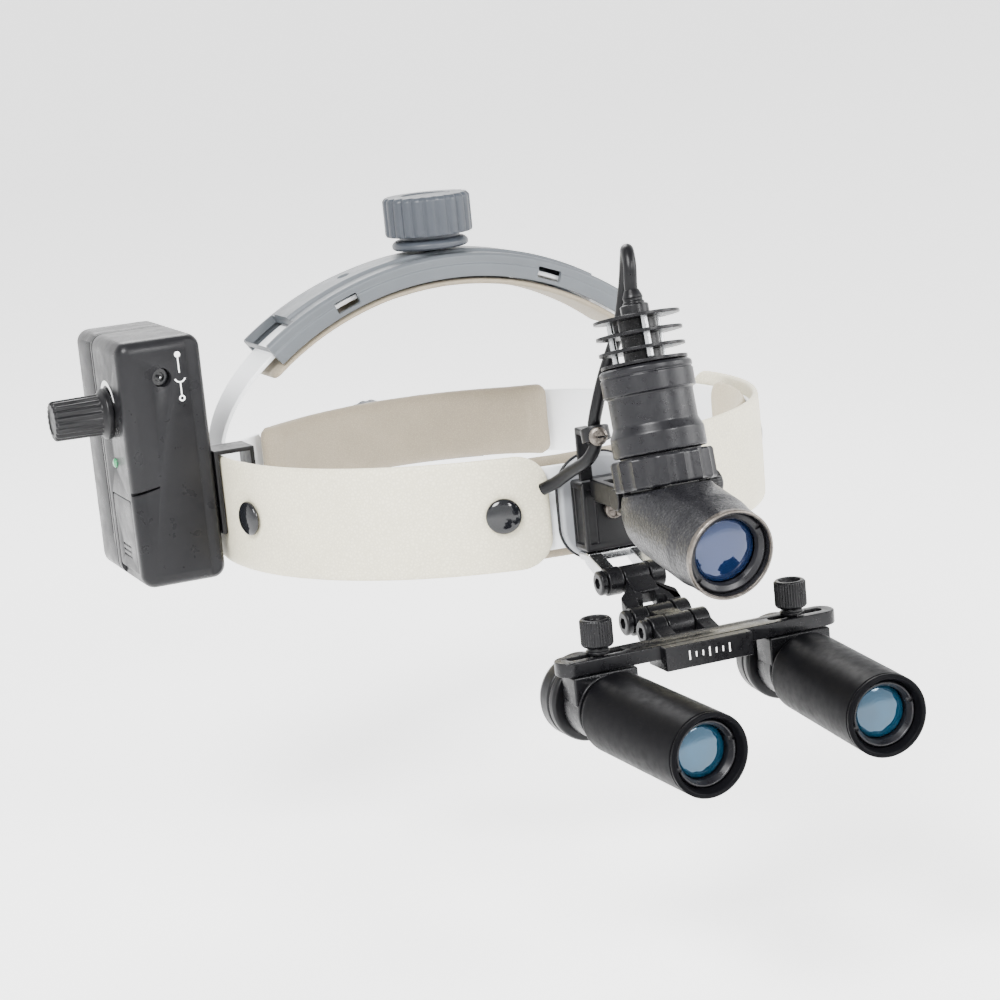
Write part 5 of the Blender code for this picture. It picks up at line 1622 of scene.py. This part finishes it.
# ---------------------------------------------------------------- lamp
@dataclass
class LampHead:
    """The lamp: elbow, lens, aperture ring, barrel, cooling fins and cable.

    Attributes:
        seat_y, seat_z: Middle of the aperture ring.
        lean: How far the barrel leans from upright, in degrees.
        corner: Y and Z where the nose's axis meets the barrel's.
        nose: Y and Z of the middle of the front.
        tilt: Y and Z of the tilt axis.
        elbow: The elbow's radius.
        bore: The light's way.
        cable: The cable's radius.
    """

    seat_y: float = -151.4
    seat_z: float = 17.5
    lean: float = 12.7
    corner: tuple[float, float] = (-154.2, 4.6)
    nose: tuple[float, float] = (-191.0, -1.9)
    tilt: tuple[float, float] = (-133.0, 7.0)
    elbow: float = 14.3
    bore: float = 10.4
    cable: float = 2.0
    fins: tuple[float, ...] = (36.6, 41.4, 46.2)

    @property
    def seat(self) -> Array:
        """Middle of the aperture ring."""
        return vec(0, self.seat_y, self.seat_z)

    @property
    def up(self) -> Array:
        """Direction of the barrel's axis."""
        return vec(0, math.sin(math.radians(self.lean)), math.cos(math.radians(self.lean)))

    @property
    def out(self) -> Array:
        """Direction of the nose's axis."""
        return unit(vec(0, *self.nose) - vec(0, *self.corner))

    @property
    def reach(self) -> float:
        """From the corner to the front."""
        return float(np.linalg.norm(vec(0, *self.nose) - vec(0, *self.corner)))

    def barrel_turned(self, name: str, profile: Sequence[tuple[float, float]],
                      edge: float = 0.3, closed: bool = False,
                      wave: Callable[[Array, Array, Array], Array] | None = None,
                      segments: int = 144) -> bpy.types.Object:
        """Turn a profile about the barrel's axis."""
        return turned(name, self.seat, self.up, profile, edge, segments, closed, wave)

    def nose_turned(self, name: str, profile: Sequence[tuple[float, float]],
                    edge: float = 0.3, closed: bool = False) -> bpy.types.Object:
        """Turn a profile about the nose's axis."""
        return turned(name, vec(0, *self.corner), self.out, profile, edge, 144, closed)

    def build(self) -> None:
        """Build every piece of the lamp."""
        self.elbow_piece()
        self.optics()
        self.barrel()
        self.heat_sink()
        self.wire()

    def elbow_piece(self) -> None:
        """Build the cast elbow: a stub for the ring and a nose for the lens."""
        e, r = self.elbow, self.reach
        item = self.barrel_turned("elbow", [(e - 2.4, -16.4), (e - 0.2, -13.6), (e, -12.5),
                                            (e, -7.4), (e - 0.7, -5.6)], 0.6)
        adds = [self.nose_turned("add", [(9.5, -12.6), (e - 2.0, -9.2), (e - 0.3, -4.0),
                                         (e + 0.2, 1.0), (e + 0.2, r - 12.0), (13.9, r - 8.0),
                                         (13.6, r + 0.1), (13.0, r + 0.55)], 0.5),
                box("add", (-4.1, -142.0, 2.3), (4.1, -132.4, 11.3), 0.5),
                turned("add", vec(-4.1, *self.tilt), vec(1, 0, 0), [(4.6, 0), (4.6, 8.2)],
                       0.4, 64)]
        item = shaped(item, adds, 'UNION')
        cuts = [self.barrel_turned("cut", [(30.0, -5.4), (30.0, 26.0)], 0.05),
                self.barrel_turned("cut", [(self.bore, -13.0), (self.bore, 0.0)], 0.05),
                self.nose_turned("cut", [(self.bore, -5.5), (self.bore, r - 3.2),
                                         (12.4, r - 3.0), (12.9, r + 2.0)], 0.2),
                turned("cut", vec(-8, *self.tilt), vec(1, 0, 0), [(2.1, 0), (2.1, 16)],
                       0.05, 40)]
        item = softened(shaped(item, cuts, 'DIFFERENCE'), 0.35)
        fit(item, "lamp_head", CAST, "lamp_black", "elbow_housing")

    def optics(self) -> None:
        """Build the bright rim, the inner retaining ring and the front lens."""
        r = self.reach
        rim = self.nose_turned("nose_rim", [(13.65, r - 1.4), (13.65, r + 0.2), (13.2, r + 0.65),
                                            (12.6, r + 0.3), (12.75, r - 1.4)], 0.2, True)
        fit(rim, "lamp_head", SCREW, "steel")
        inner = self.nose_turned("lens_ring", [(12.3, r - 2.9), (12.3, r - 1.9), (11.6, r - 1.5),
                                               (10.2, r - 2.4), (9.6, r - 3.8),
                                               (10.3, r - 4.0), (10.35, r - 2.9)], 0.2, True)
        slots = []
        u, v, w = basis(self.out)
        for turn in np.radians([35.0, 215.0]):
            side = np.cos(turn) * u + np.sin(turn) * v
            across = np.cross(side, w)
            slots.append(plate("cut", round_rectangle(-0.8, 0.8, 10.6, 12.6, 0.1),
                               vec(0, *self.corner), across, side, r - 2.4, r + 0.5, 0.05))
        fit(shaped(inner, slots, 'DIFFERENCE'), "lamp_head", LAMP, "lamp_black")
        curve = [(9.95 * math.cos(t), r - 5.2 + 2.6 * math.sin(t))
                 for t in np.radians(np.arange(0, 90, 7.5))]
        lens = self.nose_turned("lamp_front_lens", [(9.95, r - 6.3)] + curve, 0.1)
        fit(lens, "lamp_head", LAMP_GLASS, "lens_glass", "lamp_lens")

    def barrel(self) -> None:
        """Build the stepped barrel and the scalloped ring round its foot."""
        profile = [(self.bore, -4.7), (12.3, -4.7), (12.3, 5.3), (13.9, 5.4), (14.2, 5.9),
                   (14.2, 11.4), (13.1, 13.7), (12.9, 14.2), (12.9, 22.9), (13.1, 23.3),
                   (14.0, 23.6), (14.0, 28.9), (13.7, 29.1), (13.7, 29.5), (14.0, 29.7),
                   (14.0, 31.0), (13.2, 31.75), (self.bore, 31.75)]
        item = self.barrel_turned("lamp_tube", profile, 0.3, True)
        fit(item, "lamp_head", LAMP, "lamp_black", "lamp_barrel")
        ring = self.barrel_turned("scalloped_ring",
                                  [(12.75, -4.7), (15.0, -4.7), (15.55, -4.1), (15.55, 4.0),
                                   (15.0, 4.7), (12.75, 4.7)], 0.35, True,
                                  flutes(18, 0.85, -5.4, 5.4, 14.0, 0.5), 288)
        fit(ring, "aperture_ring", LAMP, "lamp_black", "aperture_ring")

    def heat_sink(self) -> None:
        """Build the three fins on their stem, with small posts between them."""
        profile = [(9.9, 26.0), (9.9, 31.9), (13.1, 32.1), (13.1, 33.1), (5.8, 33.3)]
        for h in self.fins:
            profile += [(5.8, h - 0.6), (13.1, h - 0.5), (13.1, h + 0.5), (5.8, h + 0.6)]
        profile += [(4.3, 46.95), (4.3, 49.9), (3.4, 50.3)]
        item = self.barrel_turned("cooling_fins", profile, 0.18)
        fit(item, "lamp_head", ANODISED, "lamp_black", "heat_sink")
        u, v, w = basis(self.up)
        posts = []
        for low, high in zip((33.2,) + self.fins, self.fins):
            for turn in np.radians([20.0, 140.0, 260.0]):
                spot = self.seat + 8.6 * (np.cos(turn) * u + np.sin(turn) * v)
                posts.append(turned("post", spot, w, [(1.0, low + 0.4), (1.0, high - 0.4)],
                                    0.15, 20))
        join_pieces(posts, "fin_posts")
        fit(posts[0], "lamp_head", STEEL, "steel")

    def wire(self) -> None:
        """Build the cable from the band, through its clip, to the fins.

        It is clipped between two housings, so it isn't a free cord. It is baked where it lies, just
        above the clip, and tied to neither the ring nor the lamp.
        """
        route = [(-18.6, -100.9, 7.4), (-15.2, -104.4, 9.6), (-12.6, -109.5, 13.0),
                 (-9.9, -118.2, 17.6), (-8.0, -121.4, 22.6), (-7.5, -120.6, 25.7),
                 (-7.3, -119.7, 28.4), (-6.4, -121.0, 34.0), (-3.5, -122.4, 44.0),
                 (2.2, -123.6, 58.0), (4.4, -125.4, 70.0), (3.8, -129.6, 79.0),
                 (1.6, -135.4, 82.2), (0.3, -139.2, 78.0)]
        top = [tuple(self.seat + self.up * h) for h in (55.0, 50.2)]
        path = curve_through(route + top, 10)
        item = tube("lamp_lead", path, self.cable, 28)
        fit(item, ("ring", "lamp_head"), RUBBER, "cable", "lamp_cable", "band_cable",
            bend=(vec(0, 0, 28.0), vec(0, 0, 46.0)))
        relief = self.barrel_turned("strain_relief",
                                    [(3.3, 50.0), (3.3, 50.8), (2.9, 51.2), (2.9, 51.9),
                                     (3.1, 52.1), (2.9, 52.9), (2.2, 54.6)], 0.15)
        fit(relief, "lamp_head", RUBBER, "cable")


# ---------------------------------------------------------------- battery case
@dataclass
class BatteryCase:
    """The battery case on the wearer's right, with its dimmer and clip.

    Attributes:
        out, inside: X of the outer and the inner face.
        front, back: Y of the two ends.
        low, top: Z of the two ends.
        split: Y of the parting line.
        corner: Radius of the corners seen from the front.
        dimmer: Y and Z of the dimmer's axis.
        socket: X and Z of the charging socket.
        socket_radius: Radius of the socket's hole.
    """

    out: float = -127.5
    inside: float = -98.7
    front: float = -14.0
    back: float = 44.0
    low: float = -22.0
    top: float = 61.0
    split: float = 20.0
    corner: float = 4.5
    dimmer: tuple[float, float] = (6.0, 36.0)
    socket: tuple[float, float] = (-113.3, 47.9)
    socket_radius: float = 3.2

    def build(self) -> None:
        """Build every piece of the case."""
        self.front_shell()
        self.back_shell()
        self.door()
        self.controls()
        self.marks()
        self.clip()

    def shell(self, name: str, near: float, far: float, near_edge: float, far_edge: float,
              inset: float = 0.0) -> bpy.types.Object:
        """Extrude the case's outline from one Y to another."""
        outline = round_rectangle(self.out + inset, self.inside - inset, self.low + inset,
                                  self.top - inset, self.corner)
        return plate(name, outline, vec(0, 0, 0), vec(1, 0, 0), vec(0, 0, 1), -far, -near,
                     near_edge, far_edge)

    def front_shell(self) -> None:
        """Build the front shell, with its broad front edge, step and notch."""
        body = self.shell("case_front_shell", self.front, self.split - 0.25, 4.2, 0.35)
        x, z = self.socket
        cuts = [turned("cut", vec(x, -18, z), vec(0, 1, 0),
                       [(self.socket_radius, 0), (self.socket_radius, 12.0)], 0.15, 64),
                box("cut", (self.inside - 5.6, -16.0, -30.0), (self.inside + 2, -13.1, 70.0),
                    0.15),
                box("cut", (-131.0, -7.9, -30.0), (-126.1, 15.9, 7.8), 0.3),
                self.notch(),
                turned("cut", vec(-130, *self.dimmer), vec(1, 0, 0), [(2.3, 0), (2.3, 8)],
                       0.05, 40),
                turned("cut", vec(-130, self.dimmer[0], 19.0), vec(1, 0, 0),
                       [(1.9, 0), (1.9, 8)], 0.05, 40)]
        item = softened(shaped(body, cuts, 'DIFFERENCE'), 0.3)
        fit(item, "ring", SHELL, "case_plastic", "case_front")
        pin = turned("socket_core", vec(x, -13.0, z), vec(0, 1, 0),
                     [(1.5, 3.6), (1.6, 2.4), (2.9, 2.4), (2.9, 4.0)], 0.1, 40)
        fit(pin, "ring", SNAP, "black_plastic")
        centre = turned("socket_pin", vec(x, -13.0, z), vec(0, -1, 0),
                        [(0.6, -3.4), (0.6, -1.2), (0.3, -0.9)], 0.1, 24)
        fit(centre, "ring", STEEL, "steel")

    def notch(self) -> bpy.types.Object:
        """Make the cutter of the slanting notch over the battery door."""
        outline = np.array([[-129.0, 9.4], [-118.6, 11.6], [-118.3, 12.3], [-129.0, 10.6]])
        return plate("cut", outline, vec(0, 0, 0), vec(1, 0, 0), vec(0, 0, 1), 10.0, 15.0, 0.05)

    def back_shell(self) -> None:
        """Build the back shell, with a ridge beside the parting line."""
        body = self.shell("case_back_shell", self.split + 0.25, self.back, 0.35, 3.8)
        groove = [box("cut", (self.out - 1, self.split + 2.0, -8.0),
                      (self.out + 0.45, self.split + 2.9, self.top + 2), 0.1),
                  box("cut", (self.out - 1, self.split + 2.0, self.top - 0.45),
                      (self.inside + 1, self.split + 2.9, self.top + 2), 0.1)]
        item = softened(shaped(body, groove, 'DIFFERENCE'), 0.2)
        fit(item, "ring", SHELL, "case_plastic", "case_back")
        core = self.shell("case_seam", self.split - 1.0, self.split + 1.0, 0.1, 0.1, 0.7)
        fit(core, "ring", BLACK, "black_plastic")

    def door(self) -> None:
        """Build the battery door, with three grip ridges."""
        outline = round_rectangle(-7.6, 15.6, -17.3, 7.5, 1.6)
        plain = plate("battery_lid", outline, vec(0, 0, 0), vec(0, 1, 0), vec(0, 0, 1),
                      -127.45, -126.4, 0.25, 0.3)
        turned_out = plain
        cuts = [box("cut", (-128.5, -1.0, z - 0.35), (-127.15, 9.0, z + 0.35), 0.1)
                for z in (-12.6, -10.8, -9.0)]
        item = softened(shaped(turned_out, cuts, 'DIFFERENCE'), 0.15)
        fit(item, "battery_door", SHELL, "case_plastic", "battery_door")

    def controls(self) -> None:
        """Build the fluted dimmer knob on its collar, and the power light."""
        seat = vec(self.out, *self.dimmer)
        knob = turned("dimmer_cap", seat, vec(-1, 0, 0),
                      [(1.9, -5.4), (1.9, 0.25), (8.5, 0.3), (8.6, 1.0), (8.6, 2.2),
                       (7.4, 3.2), (7.0, 3.6), (6.8, 18.9), (6.1, 19.7), (4.6, 19.7),
                       (4.3, 19.3)],
                      0.35, 216, wave=flutes(18, 0.65, 3.6, 20.6, 5.4, 1.5))
        fit(knob, "dimmer_knob", BLACK, "black_plastic", "dimmer_knob")
        led = turned("power_light", vec(self.out, self.dimmer[0], 19.0), vec(-1, 0, 0),
                     [(1.6, -2.5), (1.6, 0.2), (1.3, 0.6), (0.8, 0.85)], 0.25, 40)
        fit(led, "ring", LED, "led", "power_led")

    def marks(self) -> None:
        """Build the white crescent scale over the dimmer and the plug symbol.

        The crescent lies between two arcs about the dimmer whose distance is
        greatest at one end. The symbol is a dot, an arc and a ring on a line.
        """
        turn = np.linspace(math.radians(28), math.radians(152), 40)
        share = np.linspace(1, 0, 40)
        inner, outer = 9.3 + 0 * turn, 9.6 + 1.5 * np.sin(np.pi * share ** 0.6)
        loop_turn = np.concatenate([turn, turn[::-1]])
        radius = np.concatenate([outer, inner[::-1]])
        y, z = self.dimmer
        outline = np.stack([y - radius * np.cos(loop_turn), z + radius * np.sin(loop_turn)],
                           axis=-1)[::-1]
        item = plate("dimmer_scale", outline, vec(0, 0, 0), vec(0, 1, 0), vec(0, 0, 1),
                     self.out - 0.08, self.out + 0.05, 0.02)
        fit(item, "ring", MARK, "white_plastic")
        x, z = self.socket[0] + 6.0, self.socket[1]
        pieces = [self.flat_ring(x, z + 7.0, 0.0, 1.0), self.flat_ring(x, z - 7.6, 0.55, 1.05),
                  self.flat_ring(x, z - 0.4, 1.55, 2.05, (200, 340)),
                  box("bar", (x - 0.22, -14.07, z + 0.9), (x + 0.22, -13.9, z + 6.2), 0.02),
                  box("bar", (x - 0.22, -14.07, z - 6.6), (x + 0.22, -13.9, z - 2.3), 0.02)]
        join_pieces(pieces, "plug_symbol")
        fit(pieces[0], "ring", MARK, "white_plastic")

    def flat_ring(self, x: float, z: float, inner: float, outer: float,
                  span: tuple[float, float] = (0, 360)) -> bpy.types.Object:
        """Make a thin disc, ring or arc on the case's front face."""
        if span == (0, 360):
            profile = [(inner, -0.1), (outer, -0.1), (outer, 0.07), (inner, 0.07)]
            return turned("mark", vec(x, self.front, z), vec(0, -1, 0), profile[:4 if inner else 3],
                          0.01, 40, inner > 0)
        turn = np.radians(np.linspace(span[0], span[1], 40))
        direction = np.stack([np.cos(turn), np.sin(turn)], axis=-1)
        middle = np.array([x, z])
        outline = np.concatenate([middle + outer * direction,
                                  (middle + inner * direction)[::-1]])
        return plate("mark", outline, vec(0, 0, 0), vec(1, 0, 0), vec(0, 0, 1), 13.9, 14.07,
                     0.01)

    def clip(self) -> None:
        """Build the sprung clip that hooks the case over the band."""
        low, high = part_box("band_clip")
        x0, y0, z0 = (c / MM for c in low)
        x1, y1, z1 = (c / MM for c in high)
        body = box("case_clip", (x0 + 0.05, y0 + 0.1, z0 + 0.1), (x0 + 1.75, y1 - 0.1, z1 - 0.1),
                   0.35)
        adds = [box("add", (x0 + 0.1, y0 + 0.1, z1 - 1.6), (x1 - 0.05, y1 - 0.1, z1 - 0.1), 0.35),
                box("add", (x1 - 1.45, y0 + 0.1, z1 - 16.4), (x1 - 0.05, y1 - 0.1, z1 - 0.2),
                    0.35)]
        item = softened(shaped(body, adds, 'UNION'), 0.2)
        fit(item, "ring", BLACK, "black_plastic", "band_clip")


# ---------------------------------------------------------------- studio
@dataclass
class Studio:
    """The floor, the lights and the camera.

    Attributes:
        azimuth, elevation, roll: The camera's direction in degrees.
        distance: From the ring's centre to the camera.
        shift: How far the camera stands right and up of its axis.
        focal: Focal length over the image's width.
        clearance: From the object down to the floor, so that the loupes
            clear it when they point down.
    """

    azimuth: float = -21.66
    elevation: float = 11.24
    roll: float = -5.59
    distance: float = 907.0
    shift: tuple[float, float] = (-7.8, 13.7)
    focal: float = 2.57
    clearance: float = 76.0

    def build(self) -> None:
        """Build the floor, world, lights and camera."""
        self.floor()
        self.world()
        self.lights()
        self.camera()

    def floor(self) -> None:
        """Build a pale floor, a wide dish whose rim rises with its radius squared."""
        across = np.linspace(-3000, 3000, 61)
        along = np.linspace(-3000, 3000, 61)
        y, x = np.meshgrid(along, across, indexing="ij")
        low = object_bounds()[0].z / MM - self.clearance
        z = low + 1500 * (np.maximum(np.hypot(x, y) - 900, 0) / 2100) ** 2
        grid = np.stack([x, y, z], axis=-1)
        item = surface("floor", grid)
        material = Finish("floor_paper", (250, 250, 250), drift=0.004, patch=300.0,
                          roughness=0.9, specular=0.1, grain=Grain.SMOOTH, glow=0.9).material()
        item.data.materials.append(material)
        item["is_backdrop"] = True

    @staticmethod
    def world() -> None:
        """Build a plain pale surround."""
        world = bpy.data.worlds.new("studio")
        bpy.context.scene.world = world
        world.use_nodes = True
        background = world.node_tree.nodes["Background"]
        background.inputs["Color"].default_value = (1.0, 1.0, 1.0, 1.0)
        background.inputs["Strength"].default_value = 0.8

    def lights(self) -> None:
        """Build a large key at the upper left, a fill and a light behind."""
        for name, spot, size, watts in (("key", (-650, -650, 800), 450, 30.0),
                                        ("fill", (800, -500, 350), 500, 8.0),
                                        ("window", (250, -1000, 500), 260, 9.0),
                                        ("back", (100, 800, 800), 600, 14.0)):
            lamp = bpy.data.lights.new(name, 'AREA')
            lamp.size = size * MM
            lamp.energy = watts
            item = bpy.data.objects.new(name, lamp)
            item.location = Vector(spot) * MM
            item.rotation_euler = (-Vector(spot)).to_track_quat('-Z', 'Y').to_euler()
            bpy.context.scene.collection.objects.link(item)

    def camera(self) -> None:
        """Set the camera from its direction, roll, distance and shift."""
        a, e = math.radians(self.azimuth), math.radians(self.elevation)
        back = Vector((math.sin(a) * math.cos(e), -math.cos(a) * math.cos(e), math.sin(e)))
        right = Vector((math.cos(a), math.sin(a), 0))
        up = back.cross(right)
        c, s = math.cos(math.radians(self.roll)), math.sin(math.radians(self.roll))
        right, up = c * right + s * up, -s * right + c * up
        spot = back * self.distance - self.shift[0] * right - self.shift[1] * up
        lens = bpy.data.cameras.new("view")
        lens.sensor_width = 36.0
        lens.lens = self.focal * lens.sensor_width
        lens.clip_start, lens.clip_end = 0.01, 20.0
        item = bpy.data.objects.new("view", lens)
        place = Matrix((right, up, back)).transposed().to_4x4()
        place.translation = spot * MM
        item.matrix_world = place
        bpy.context.scene.collection.objects.link(item)
        bpy.context.scene.camera = item


def dress_frame() -> None:
    """Give every frame node that still shows the finish of its slot."""
    slots = {node: row["slot"] for row in frame["record"].get("materials", [])
             for node in row.get("nodes", [])}
    for name, item in frame["nodes"].items():
        finish = SLOT_FINISH.get(slots.get(name, ""), BLACK)
        item.data.materials.clear()
        item.data.materials.append(finish.material())
        if not item.hide_render:
            log.info("%s: kept from the frame as %s", name, finish.name)


def main() -> None:
    """Build the studio and every sub-assembly, and dress what is left."""
    Studio().build()
    HeadRing().build()
    FrontMount().build()
    RearUnit().build()
    CrownUnit().build()
    linkage = Linkage()
    linkage.build()
    Bridge().build(linkage)
    for side in Side:
        Eye(side).build()
    LampHead().build()
    BatteryCase().build()
    dress_frame()


if __name__ == "__main__":
    logging.basicConfig(level=logging.INFO, format="%(name)s %(message)s")
    main()
